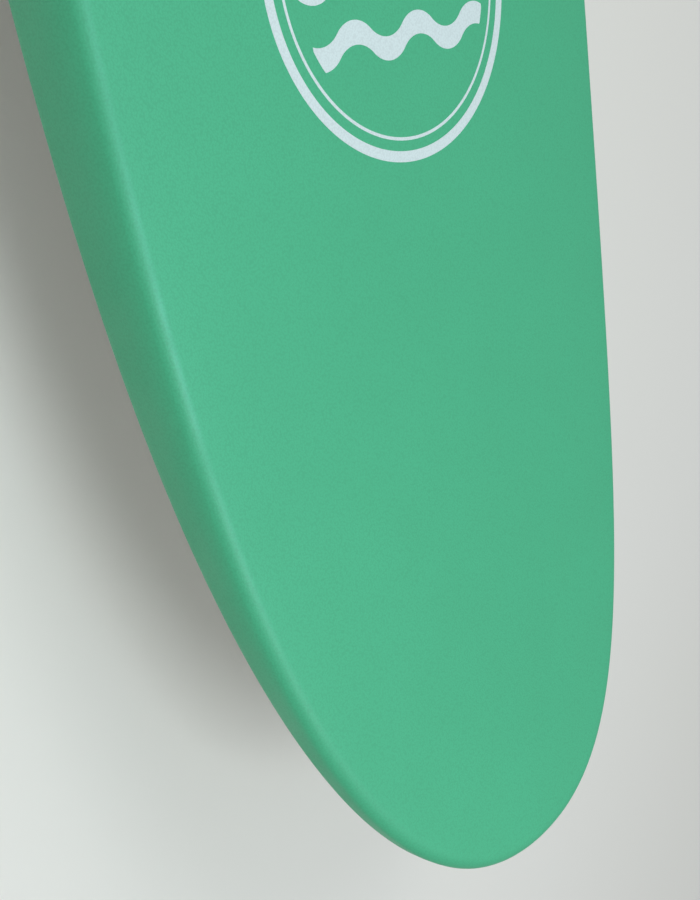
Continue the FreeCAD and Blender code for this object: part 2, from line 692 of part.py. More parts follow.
emblem_x = HALF_LENGTH - size("emblem_setback")
rings = [ring_stock("outer_ring", (emblem_x, 0, 0), "emblem_radius", "emblem_line"),
         ring_stock("inner_ring", (emblem_x, 0, 0), "emblem_inner_radius", "emblem_inner_line")]
wave_count = math.ceil(size("wave_field_radius") / size("wave_chord"))
waves = [solid_feature("wave_%d" % number, wave_stock(emblem_x + number * size("wave_pitch"), wave_count))
         for number in (-1, 0, 1)]
wave_field = cylinder("wave_field", (emblem_x, 0, 0), "wave_field_radius", "4 * board_thickness")
ring_film = piece(common("ring_film", film_slab, fuse("ring_stocks", rings)), "emblem_rings")
wave_film = piece(common("wave_film", film_slab, common("wave_stocks", fuse("wave_set", waves), wave_field)),
                  "emblem_waves")

# ---------------------------------------------------------------------------------------------
# Skins: closed-cell foam over the deck and rails, liner and slick sheet on the bottom
# ---------------------------------------------------------------------------------------------
bottom_fittings = [box_seat, plug_seats[1], plug_seats[-1]]
slick_full = common("slick_full", panel_stock, slick_slab)
liner_full = common("liner_full", panel_stock, liner_slab)
piece(cut("slick_cut", slick_full, bottom_fittings), "slick_bottom")
piece(cut("liner_cut", liner_full, bottom_fittings), "bottom_liner")
piece(cut("deck_cut", outer_form, [core_form, slick_full, liner_full, ring_film, wave_film, cup_seat]),
      "deck_skin")

# ---------------------------------------------------------------------------------------------
# Check and write
# ---------------------------------------------------------------------------------------------
document.recompute()
for thing in document.Objects:
    if "Invalid" in thing.State or "Error" in thing.State:
        raise RuntimeError("%s failed: %s" % (thing.Name, thing.State))
os.makedirs("parts", exist_ok=True)
for thing in NODES:
    shape = thing.Shape
    if shape.isNull() or not shape.isValid() or not shape.Solids:
        raise RuntimeError("%s has no valid solid" % thing.Label)
    print("%-20s %2d solids %12.1f mm3" % (thing.Label, len(shape.Solids), shape.Volume))
for thing in NODES:
    thing.Shape.exportStep("parts/%s.step" % thing.Label)
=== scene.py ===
"""Looks of a soft-top longboard surfboard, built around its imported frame.

Metres, in the row frame: +X to the nose, +Y to the port rail, +Z up out of the deck, with the
origin in the middle of the flat panel of the bottom.
"""
import logging
import math
from dataclasses import dataclass, field, replace
from enum import Enum
from typing import Callable, Optional, Sequence

import bmesh
import bpy
import numpy as np
from mathutils import Matrix, Vector


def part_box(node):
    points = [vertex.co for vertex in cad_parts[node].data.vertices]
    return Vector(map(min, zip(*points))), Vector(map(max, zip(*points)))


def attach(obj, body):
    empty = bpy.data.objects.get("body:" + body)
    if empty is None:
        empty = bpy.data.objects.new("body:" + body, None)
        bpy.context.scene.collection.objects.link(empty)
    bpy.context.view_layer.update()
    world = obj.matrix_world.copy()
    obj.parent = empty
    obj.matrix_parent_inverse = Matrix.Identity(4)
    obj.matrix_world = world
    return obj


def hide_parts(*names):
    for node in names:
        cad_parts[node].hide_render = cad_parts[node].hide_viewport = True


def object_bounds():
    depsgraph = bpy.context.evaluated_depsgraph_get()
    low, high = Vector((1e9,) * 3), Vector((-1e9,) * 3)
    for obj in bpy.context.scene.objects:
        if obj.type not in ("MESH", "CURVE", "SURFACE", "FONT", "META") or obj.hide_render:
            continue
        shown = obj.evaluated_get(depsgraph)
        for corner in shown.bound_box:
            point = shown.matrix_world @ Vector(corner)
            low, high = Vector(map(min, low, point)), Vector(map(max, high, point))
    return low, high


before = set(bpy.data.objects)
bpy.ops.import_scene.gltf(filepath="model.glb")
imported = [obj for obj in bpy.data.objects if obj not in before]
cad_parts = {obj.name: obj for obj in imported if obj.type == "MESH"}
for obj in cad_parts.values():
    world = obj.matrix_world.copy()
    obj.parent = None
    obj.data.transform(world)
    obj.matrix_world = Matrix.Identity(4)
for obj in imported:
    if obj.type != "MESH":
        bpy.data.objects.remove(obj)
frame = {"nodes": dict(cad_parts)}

LOG = logging.getLogger("longboard")
CAD_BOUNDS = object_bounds()
MILLI = 0.001
BOARD_WIDTH = 0.584
QUARTER = math.pi / 2
MERGE = 1e-6  # points nearer than this are one
PEBBLE_BLEND = 0.35  # how far the foam's pebbles run into each other
SMOOTH_BELOW = 35.0  # degrees between faces that are shaded as one
SOFTEN_ABOVE = 40.0  # degrees between faces whose edge is rounded
ROUND_MIDDLE = 0.3  # how far in the middle of a small round lies, as a share of its radius
BORE_SIDES = 40
SEAT_SIDES = 96

Colour = tuple[float, float, float, float]
Span = tuple[float, float]
FULL: Span = (0.0, 1.0)
MOST: Span = (0.3, 0.7)  # where nearly all of a noise's values lie
CORE: Span = (0.35, 0.65)  # where most of them lie


class Body(Enum):
    """Bodies of the frame that a piece can ride on."""

    BOARD = "board"
    CENTRE_FIN = "centre_fin"
    FIN_SCREW = "fin_screw"
    FIN_PLATE = "fin_plate"


class Slot(Enum):
    """The record's material slots, one named for each piece."""

    DECK_FOAM = "deck_foam"
    SLICK_SHEET = "slick_sheet"
    PRINT_FILM = "print_film"
    CUP_PLASTIC = "cup_plastic"
    BOX_PLASTIC = "box_plastic"
    FIN_PLASTIC = "fin_plastic"
    FASTENER_STEEL = "fastener_steel"
    PLATE_BRASS = "plate_brass"


class Side(Enum):
    """Sides of the board, each with its direction along Y."""

    LEFT = 1
    RIGHT = -1

    @property
    def label(self) -> str:
        """The side's name as pieces and nodes spell it."""
        return self.name.lower()


class Joinery(Enum):
    """Ways for a solid to change another."""

    CUT = "DIFFERENCE"
    JOIN = "UNION"


class Cells(Enum):
    """What a pattern of cells gives: rounded pebbles, or the lines between beads."""

    PEBBLES = "SMOOTH_F1"
    LINES = "DISTANCE_TO_EDGE"


# ------------------------------------------------------------------------------------------
# Finishes
# ------------------------------------------------------------------------------------------
class Nodes:
    """A node tree under construction."""

    def __init__(self, tree: bpy.types.NodeTree) -> None:
        """Take up a tree.

        Args:
            tree: The tree that nodes are added to.
        """
        self.tree = tree

    def fill(self, socket: bpy.types.NodeSocket, value: object) -> None:
        """Link an input to another node's output, or set it to a constant.

        Args:
            socket: The input.
            value: The output or the constant.
        """
        if isinstance(value, bpy.types.NodeSocket):
            self.tree.links.new(value, socket)
        else:
            socket.default_value = value

    def add(self, kind: str, **inputs: object) -> bpy.types.Node:
        """Add a node and fill its inputs.

        Args:
            kind: The node's type, without its leading ShaderNode.
            inputs: What goes into each input, by name; underscores stand for spaces.

        Returns:
            The node.
        """
        node = self.tree.nodes.new("ShaderNode" + kind)
        for name, value in inputs.items():
            self.fill(node.inputs[name.replace("_", " ")], value)
        return node

    def remap(self, source: bpy.types.NodeSocket, within: Span, onto: Span = FULL) -> bpy.types.NodeSocket:
        """Clamp a factor to one span and stretch it over another.

        Args:
            source: The factor.
            within: Span that it is clamped to.
            onto: What the span's two ends become.

        Returns:
            The stretched factor.
        """
        return self.add("MapRange", Value=source, From_Min=within[0], From_Max=within[1], To_Min=onto[0],
                        To_Max=onto[1]).outputs["Result"]


class Recipe(Nodes):
    """A material's node tree under construction, patterned on Object coordinates."""

    def __init__(self, name: str) -> None:
        """Start a material with a Principled shader.

        Args:
            name: Name of the material.
        """
        self.material = bpy.data.materials.new(name)
        self.material.use_nodes = True
        super().__init__(self.material.node_tree)
        self.shader = self.tree.nodes["Principled BSDF"]
        self.place = self.add("TexCoord").outputs["Object"]

    def set(self, **values: object) -> None:
        """Fill the shader's own sockets.

        Args:
            values: What goes into each socket, by name; underscores stand for spaces.
        """
        for name, value in values.items():
            self.fill(self.shader.inputs[name.replace("_", " ")], value)

    def mapped(self, scale: Sequence[float]) -> bpy.types.NodeSocket:
        """Object coordinates stretched by a Mapping node."""
        return self.add("Mapping", Vector=self.place, Scale=scale).outputs["Vector"]

    def noise(self, size: float, detail: float = 2.0, roughness: float = 0.5,
              vector: Optional[bpy.types.NodeSocket] = None) -> bpy.types.NodeSocket:
        """Noise whose features are about that size in metres.

        Args:
            size: Width of a feature.
            detail: Octaves of finer noise.
            roughness: Strength of the finer octaves.
            vector: Coordinates to read instead of plain Object coordinates.

        Returns:
            The noise's factor, about 0.3 to 0.7.
        """
        return self.add("TexNoise", Vector=vector or self.place, Scale=1.0 / size, Detail=detail,
                        Roughness=roughness).outputs["Fac"]

    def streaks(self, scale: Sequence[float], detail: float, roughness: float = 0.5) -> bpy.types.NodeSocket:
        """Noise drawn out along the board.

        Args:
            scale: Features per metre along each axis.
            detail: Octaves of finer noise.
            roughness: Strength of the finer octaves.

        Returns:
            The noise's factor.
        """
        return self.noise(1.0, detail, roughness, self.mapped(scale))

    def cells(self, size: float, kind: Cells) -> bpy.types.NodeSocket:
        """Cells of that size in metres.

        Args:
            size: Width of a cell.
            kind: What is drawn of the cells.

        Returns:
            The distance to the cell's middle or to its edge.
        """
        node = self.add("TexVoronoi", Vector=self.place, Scale=1.0 / size)
        node.feature = kind.value
        if kind is Cells.PEBBLES:
            self.fill(node.inputs["Smoothness"], PEBBLE_BLEND)
        return node.outputs["Distance"]

    def layers(self, scale: Sequence[float], distortion: float, detail: float) -> bpy.types.NodeSocket:
        """Even bands across the board.

        Args:
            scale: Bands per metre along each axis.
            distortion: How far they waver.
            detail: Octaves of the wavering.

        Returns:
            The bands' factor.
        """
        return self.add("TexWave", Vector=self.mapped(scale), Scale=1.0, Distortion=distortion,
                        Detail=detail).outputs["Fac"]

    def math(self, operation: str, first: object, second: object) -> bpy.types.NodeSocket:
        """Math node.

        Args:
            operation: The node's operation.
            first: Its first socket or number.
            second: Its second socket or number.

        Returns:
            The result.
        """
        node = self.add("Math")
        node.operation = operation
        for socket, value in zip(node.inputs, (first, second)):
            self.fill(socket, value)
        return node.outputs["Value"]

    def mix(self, factor: bpy.types.NodeSocket, first: object, second: object) -> bpy.types.NodeSocket:
        """Mix of two colours by a factor.

        Args:
            factor: 0 for the first colour, 1 for the second.
            first: A colour or a colour socket.
            second: A colour or a colour socket.

        Returns:
            The mixed colour.
        """
        node = self.add("Mix", Factor=factor)
        node.data_type = "RGBA"
        sockets = [socket for socket in node.inputs if socket.type == "RGBA"]
        for socket, value in zip(sockets, (first, second)):
            self.fill(socket, value)
        return next(socket for socket in node.outputs if socket.type == "RGBA")

    def bump(self, height: bpy.types.NodeSocket, distance: float, strength: float) -> None:
        """Add a bump over any earlier one.

        Args:
            height: Its height, 0 to 1.
            distance: Metres that a height of 1 stands for.
            strength: Its strength.
        """
        node = self.add("Bump", Height=height, Distance=distance, Strength=strength)
        normal = self.shader.inputs["Normal"]
        if normal.is_linked:
            self.fill(node.inputs["Normal"], normal.links[0].from_socket)
        self.fill(normal, node.outputs["Normal"])


def tinted(colour: Colour, factor: float) -> Colour:
    """A colour with its three channels multiplied."""
    return (colour[0] * factor, colour[1] * factor, colour[2] * factor, 1.0)


@dataclass(frozen=True)
class Foam:
    """Closed-cell foam skin with a fine pebbled, matte face."""

    name: str
    colour: Colour
    grain: float = 1.5 * MILLI
    relief: float = 0.16 * MILLI
    relief_strength: float = 0.55
    rough: float = 0.52
    polish: float = 0.05
    scuff: float = 0.06
    scuff_size: float = 0.05
    mottle: float = 0.015
    mottle_size: float = 0.16
    # painted shade in the pits between the pebbles: where it starts, how much of it, and how dark it is
    painted_pit_shade_span: Span = (0.35, 0.75)
    painted_pit_shade_amount: float = 0.32
    painted_pit_shade_tint: float = 0.72
    tooth_size: float = 0.45
    tooth_relief: float = 0.5
    tooth_strength: float = 0.6
    gloss: float = 0.5

    def material(self) -> bpy.types.Material:
        """Pebbles with painted shade in the pits between them, a finer tooth between them, slow mottling and
        scuffed roughness.

        Returns:
            The material.
        """
        recipe = Recipe(self.name)
        pebbles = recipe.cells(self.grain, Cells.PEBBLES)
        tooth = recipe.noise(self.grain * self.tooth_size, detail=3.0, roughness=0.6)
        slow = recipe.noise(self.mottle_size, detail=3.0)
        scuffs = recipe.noise(self.scuff_size, detail=5.0)
        light, dark = tinted(self.colour, 1.0 + self.mottle), tinted(self.colour, 1.0 - self.mottle)
        broad = recipe.mix(recipe.remap(slow, CORE), dark, light)
        # painted shade: the colour is darkened in the pits between the pebbles, where shade would fall
        painted_pit_shade_amount = recipe.remap(pebbles, self.painted_pit_shade_span, (0.0, self.painted_pit_shade_amount))
        recipe.set(Base_Color=recipe.mix(painted_pit_shade_amount, broad, tinted(self.colour, self.painted_pit_shade_tint)),
                   Roughness=recipe.remap(scuffs, CORE, (self.rough - self.polish, self.rough + self.scuff)),
                   Specular_IOR_Level=self.gloss)
        recipe.bump(recipe.math("SUBTRACT", 1.0, pebbles), self.relief, self.relief_strength)
        recipe.bump(tooth, self.relief * self.tooth_relief, self.relief_strength * self.tooth_strength)
        return recipe.material


@dataclass(frozen=True)
class Sheet:
    """Slick moulded plastic sheet with faint rub marks along the board."""

    name: str
    colour: Colour
    rough: float = 0.28
    polish: float = 0.05
    dulling: float = 0.1
    dull_size: float = 0.09
    hairs_per_metre: Sequence[float] = (9.0, 900.0, 900.0)
    hairs_within: Span = (0.55, 0.75)
    hair_roughness: float = 0.22
    hair_relief: float = 0.05 * MILLI
    hair_strength: float = 0.25
    peel_size: float = 4.0 * MILLI
    peel_relief: float = 0.1 * MILLI
    peel_strength: float = 0.12
    stains_within: Span = (0.4, 0.7)
    stain: float = 0.5
    stain_shade: float = 0.93

    def material(self) -> bpy.types.Material:
        """Long hairline scratches, orange peel and a little sand-dulled variation.

        Returns:
            The material.
        """
        recipe = Recipe(self.name)
        hairs = recipe.streaks(self.hairs_per_metre, detail=6.0, roughness=0.75)
        dull = recipe.noise(self.dull_size, detail=5.0, roughness=0.6)
        peel = recipe.noise(self.peel_size, detail=1.0)
        stain = recipe.remap(dull, self.stains_within, (0.0, self.stain))
        scuffed = recipe.remap(hairs, self.hairs_within, (0.0, self.hair_roughness))
        base = recipe.remap(dull, MOST, (self.rough - self.polish, self.rough + self.dulling))
        recipe.set(Base_Color=recipe.mix(stain, self.colour, tinted(self.colour, self.stain_shade)),
                   Roughness=recipe.math("ADD", base, scuffed))
        recipe.bump(peel, self.peel_relief, self.peel_strength)
        recipe.bump(hairs, self.hair_relief, self.hair_strength)
        return recipe.material


@dataclass(frozen=True)
class Moulded:
    """Moulded plastic: satin face with a fine spark-eroded tooth."""

    name: str
    colour: Colour
    rough: float = 0.38
    polish: float = 0.07
    wear: float = 0.08
    tooth: float = 0.5 * MILLI
    tooth_depth: float = 0.04 * MILLI
    tooth_strength: float = 0.5
    patch_size: float = 0.03
    patches_within: Span = (0.4, 0.65)
    patch_shade: float = 1.12

    def material(self) -> bpy.types.Material:
        """Fine tooth and handled patches.

        Returns:
            The material.
        """
        recipe = Recipe(self.name)
        fine = recipe.noise(self.tooth, detail=4.0, roughness=0.6)
        handled = recipe.noise(self.patch_size, detail=4.0)
        patches = recipe.remap(handled, self.patches_within)
        recipe.set(Base_Color=recipe.mix(patches, self.colour, tinted(self.colour, self.patch_shade)),
                   Roughness=recipe.remap(handled, MOST, (self.rough - self.polish, self.rough + self.wear)))
        recipe.bump(fine, self.tooth_depth, self.tooth_strength)
        return recipe.material


@dataclass(frozen=True)
class Metal:
    """Turned or rolled metal with a fine directional grain."""

    name: str
    colour: Colour
    rough: float = 0.3
    polish: float = 0.08
    wear: float = 0.12
    grain_per_metre: Sequence[float] = (300.0, 300.0, 5000.0)
    grain_relief: float = 0.03 * MILLI
    grain_strength: float = 0.35
    tarnish_size: float = 3.0 * MILLI
    tarnish_within: Span = (0.45, 0.7)
    tarnish_shade: float = 0.72

    def material(self) -> bpy.types.Material:
        """Brushed grain and a little tarnish.

        Returns:
            The material.
        """
        recipe = Recipe(self.name)
        grain = recipe.streaks(self.grain_per_metre, detail=5.0)
        tarnish = recipe.remap(recipe.noise(self.tarnish_size, detail=4.0), self.tarnish_within)
        recipe.set(Base_Color=recipe.mix(tarnish, self.colour, tinted(self.colour, self.tarnish_shade)),
                   Roughness=recipe.remap(grain, MOST, (self.rough - self.polish, self.rough + self.wear)),
                   Metallic=1.0)
        recipe.bump(grain, self.grain_relief, self.grain_strength)
        return recipe.material


@dataclass(frozen=True)
class BeadFoam:
    """Expanded bead foam: swollen beads pressed together."""

    name: str
    colour: Colour
    bead: float = 4.0 * MILLI
    gap: float = 0.12
    gap_shade: float = 0.7
    swell: float = 0.3
    relief: float = 0.5 * MILLI
    relief_strength: float = 0.6
    rough: Span = (0.6, 0.8)

    def material(self) -> bpy.types.Material:
        """Beads with dark lines between them.

        Returns:
            The material.
        """
        recipe = Recipe(self.name)
        lines = recipe.cells(self.bead, Cells.LINES)
        gap = recipe.remap(lines, (0.0, self.gap), (1.0, 0.0))
        recipe.set(Base_Color=recipe.mix(gap, self.colour, tinted(self.colour, self.gap_shade)),
                   Roughness=recipe.remap(recipe.noise(self.bead), MOST, self.rough))
        recipe.bump(recipe.remap(lines, (0.0, self.swell)), self.relief, self.relief_strength)
        return recipe.material


@dataclass(frozen=True)
class Plywood:
    """Thin plywood with its plies showing on the edge and grain along the board."""

    name: str
    light: Colour
    dark: Colour
    grain_per_metre: Sequence[float] = (6.0, 900.0, 240.0)
    plies_per_metre: Sequence[float] = (0.0, 300.0, 0.0)
    ply_waver: float = 0.6
    plies_within: Span = (0.6, 1.0)
    ply_line: float = 0.35
    ply_shade: float = 0.7
    relief: float = 0.1 * MILLI
    relief_strength: float = 0.5
    rough: Span = (0.55, 0.75)

    def material(self) -> bpy.types.Material:
        """Long grain streaks over ply lines.

        Returns:
            The material.
        """
        recipe = Recipe(self.name)
        streaks = recipe.streaks(self.grain_per_metre, detail=6.0, roughness=0.65)
        plies = recipe.layers(self.plies_per_metre, self.ply_waver, detail=3.0)
        figure = recipe.mix(recipe.remap(streaks, CORE), self.light, self.dark)
        lines = recipe.remap(plies, self.plies_within, (0.0, self.ply_line))
        recipe.set(Base_Color=recipe.mix(lines, figure, tinted(self.dark, self.ply_shade)),
                   Roughness=recipe.remap(streaks, MOST, self.rough))
        recipe.bump(streaks, self.relief, self.relief_strength)
        return recipe.material


def srgb(red: float, green: float, blue: float) -> Colour:
    """Linear colour from display values.

    Args:
        red: Red, 0 to 255.
        green: Green, 0 to 255.
        blue: Blue, 0 to 255.

    Returns:
        The colour.
    """
    def linear(value: float) -> float:
        """One channel to linear light."""
        share = value / 255
        return share / 12.92 if share <= 0.04045 else ((share + 0.055) / 1.055) ** 2.4
    return (linear(red), linear(green), linear(blue), 1.0)


@dataclass(frozen=True)
class Finishes:
    """Every finish on the board, ready as materials."""

    deck: bpy.types.Material
    print_film: bpy.types.Material
    slick: bpy.types.Material
    liner: bpy.types.Material
    bead_core: bpy.types.Material
    dense_foam: bpy.types.Material
    plywood: bpy.types.Material
    box: bpy.types.Material
    fin: bpy.types.Material
    cup: bpy.types.Material
    steel: bpy.types.Material
    brass: bpy.types.Material

    @staticmethod
    def mixed() -> "Finishes":
        """Mix every finish once.

        Returns:
            The finishes.
        """
        return Finishes(
            deck=Foam("sea_green_deck_foam", srgb(71, 180, 133)).material(),
            print_film=Foam("white_print_film", srgb(216, 231, 231), relief_strength=0.4,
                            rough=0.46).material(),
            slick=Sheet("white_slick_sheet", srgb(232, 234, 232)).material(),
            liner=Foam("liner_foam", srgb(238, 238, 233), grain=0.8 * MILLI).material(),
            bead_core=BeadFoam("bead_core_foam", srgb(244, 244, 241)).material(),
            dense_foam=Foam("dense_block_foam", srgb(219, 205, 168), grain=0.5 * MILLI).material(),
            plywood=Plywood("stringer_plywood", srgb(205, 170, 121), srgb(163, 121, 76)).material(),
            box=Moulded("white_box_nylon", srgb(226, 227, 224), rough=0.36).material(),
            fin=Moulded("charcoal_fin_nylon", srgb(40, 43, 46), rough=0.32).material(),
            cup=Moulded("black_cup_nylon", srgb(30, 31, 33), rough=0.4).material(),
            steel=Metal("stainless_steel", srgb(196, 198, 200)).material(),
            brass=Metal("plate_brass", srgb(206, 172, 98)).material(),
        )


# ------------------------------------------------------------------------------------------
# Mesh helpers
# ------------------------------------------------------------------------------------------
def piece(name: str, bm: bmesh.types.BMesh, finish: bpy.types.Material,
          sharp: float = SMOOTH_BELOW) -> bpy.types.Object:
    """Turn a finished bmesh into an object, smooth but for edges sharper than sharp degrees.

    Args:
        name: Name of the piece.
        bm: Its mesh, which is freed.
        finish: Its material.
        sharp: Angle above which an edge stays crisp.

    Returns:
        The object, at the origin.
    """
    mesh = bpy.data.meshes.new(name)
    bm.to_mesh(mesh)
    bm.free()
    mesh.materials.append(finish)
    mesh.shade_smooth()
    mesh.set_sharp_from_angle(angle=math.radians(sharp))
    thing = bpy.data.objects.new(name, mesh)
    bpy.context.scene.collection.objects.link(thing)
    return thing


def freeze(thing: bpy.types.Object) -> bpy.types.Object:
    """Replace an object's mesh with what its modifiers make of it.

    Args:
        thing: The object.

    Returns:
        The same object, with no modifiers.
    """
    graph = bpy.context.evaluated_depsgraph_get()
    mesh = bpy.data.meshes.new_from_object(thing.evaluated_get(graph), depsgraph=graph)
    old = thing.data
    thing.modifiers.clear()
    thing.data = mesh
    name = old.name
    bpy.data.meshes.remove(old)
    mesh.name = name
    mesh.shade_smooth()
    mesh.set_sharp_from_angle(angle=math.radians(SMOOTH_BELOW))
    return thing


def carve(thing: bpy.types.Object, cutters: Sequence[bmesh.types.BMesh],
          joinery: Joinery = Joinery.CUT) -> bpy.types.Object:
    """Cut other solids out of an object, or join them to it.

    Args:
        thing: The object to change.
        cutters: The other solids, which are freed.
        joinery: Whether they are cut out or joined.

    Returns:
        The same object.
    """
    others = [piece("cutter", bm, thing.data.materials[0]) for bm in cutters]
    for other in others:
        modifier = thing.modifiers.new("carve", "BOOLEAN")
        modifier.operation = joinery.value
        modifier.solver = "EXACT"
        modifier.object = other
    freeze(thing)
    for other in others:
        mesh = other.data
        bpy.data.objects.remove(other)
        bpy.data.meshes.remove(mesh)
    return thing


def soften(thing: bpy.types.Object, width: float, segments: int = 2) -> bpy.types.Object:
    """Round an object's crisp edges.

    Args:
        thing: The object.
        width: Width of the rounding.
        segments: Faces across the rounding.

    Returns:
        The same object.
    """
    modifier = thing.modifiers.new("soften", "BEVEL")
    modifier.width = width
    modifier.segments = segments
    modifier.limit_method = "ANGLE"
    modifier.angle_limit = math.radians(SOFTEN_ABOVE)
    modifier.harden_normals = False
    return freeze(thing)


def block(size: Sequence[float], middle: Sequence[float],
          turn: Matrix = Matrix.Identity(4)) -> bmesh.types.BMesh:
    """Box of that size, set on its middle and then turned about the origin.

    Args:
        size: Its length, width and height.
        middle: Its middle.
        turn: The turn.

    Returns:
        The box.
    """
    bm = bmesh.new()
    bmesh.ops.create_cube(bm, size=1.0)
    bmesh.ops.scale(bm, vec=size, verts=bm.verts)
    bmesh.ops.translate(bm, vec=middle, verts=bm.verts)
    bm.transform(turn)
    return bm


def post(radius: float, low: float, high: float, sides: int,
         turn: Matrix = Matrix.Identity(4)) -> bmesh.types.BMesh:
    """Cylinder about Z from low to high, then turned.

    Args:
        radius: Its radius.
        low: Level of its lower end.
        high: Level of its upper end.
        sides: Faces around it.
        turn: Where it is put.

    Returns:
        The cylinder.
    """
    bm = bmesh.new()
    bmesh.ops.create_cone(bm, cap_ends=True, segments=sides, radius1=radius, radius2=radius,
                          depth=high - low)
    bmesh.ops.translate(bm, vec=(0, 0, (low + high) / 2), verts=bm.verts)
    bm.transform(turn)
    return bm


def stadium(length: float, width: float, height: float, sides: int) -> bmesh.types.BMesh:
    """Round-ended block that stands on its face.

    Args:
        length: Overall length along X.
        width: Width along Y.
        height: Height above the face.
        sides: Faces around its two ends together.

    Returns:
        The block.
    """
    bm = post(width / 2, 0.0, height, sides)
    reach = (length - width) / 2
    for vert in bm.verts:
        vert.co.x += math.copysign(reach, vert.co.x) if abs(vert.co.x) > MERGE else 0.0
    return bm


def lathe(profile: Sequence[Sequence[float]], steps: int) -> bmesh.types.BMesh:
    """Spin an (r, z) profile about Z.

    Args:
        profile: Its points, starting and ending on the axis.
        steps: Faces around.

    Returns:
        The turned solid.
    """
    bm = bmesh.new()
    verts = [bm.verts.new((r, 0.0, z)) for r, z in profile]
    edges = [bm.edges.new(pair) for pair in zip(verts, verts[1:])]
    bmesh.ops.spin(bm, geom=verts + edges, cent=(0, 0, 0), axis=(0, 0, 1), angle=math.tau,
                   steps=steps, use_merge=True)
    bmesh.ops.remove_doubles(bm, verts=bm.verts, dist=MERGE)
    bmesh.ops.recalc_face_normals(bm, faces=bm.faces)
    return bm


def arc(centre: Sequence[float], radius: float, first: float, last: float,
        steps: int = 5) -> list[tuple[float, float]]:
    """Chords of an arc in a plane.

    Args:
        centre: Its centre.
        radius: Its radius.
        first: Angle of its first point, anticlockwise from the plane's first axis.
        last: Angle of its last point.
        steps: Chords in it.

    Returns:
        The points, both ends included.
    """
    turns = [first + (last - first) * step / steps for step in range(steps + 1)]
    return [(centre[0] + radius * math.cos(turn), centre[1] + radius * math.sin(turn)) for turn in turns]


def thread(first: float, second: float, low: float, pitch: float, turns: int) -> list[tuple[float, float]]:
    """Crests and roots of a thread, for a lathe profile.

    Args:
        first: Radius half a pitch up each turn.
        second: Radius at the end of each turn.
        low: Level that the first turn starts from.
        pitch: Rise of a turn.
        turns: Number of turns.

    Returns:
        The points, as (r, z).
    """
    return [point for turn in range(turns)
            for point in ((first, low + pitch * (turn + 0.5)), (second, low + pitch * (turn + 1)))]


# ------------------------------------------------------------------------------------------
# Shape of the board
# ------------------------------------------------------------------------------------------
def bezier(poles: Sequence[Sequence[float]], count: int) -> np.ndarray:
    """Points of a Bezier curve, evenly spaced in its parameter.

    Args:
        poles: Its poles.
        count: Number of points.

    Returns:
        The points, both ends included.
    """
    degree = len(poles) - 1
    share = np.linspace(0.0, 1.0, count)[:, None]
    points = np.zeros((count, 2))
    for number, pole in enumerate(poles):
        weight = math.comb(degree, number) * share ** number * (1 - share) ** (degree - number)
        points += weight * np.array(pole, float)
    return points


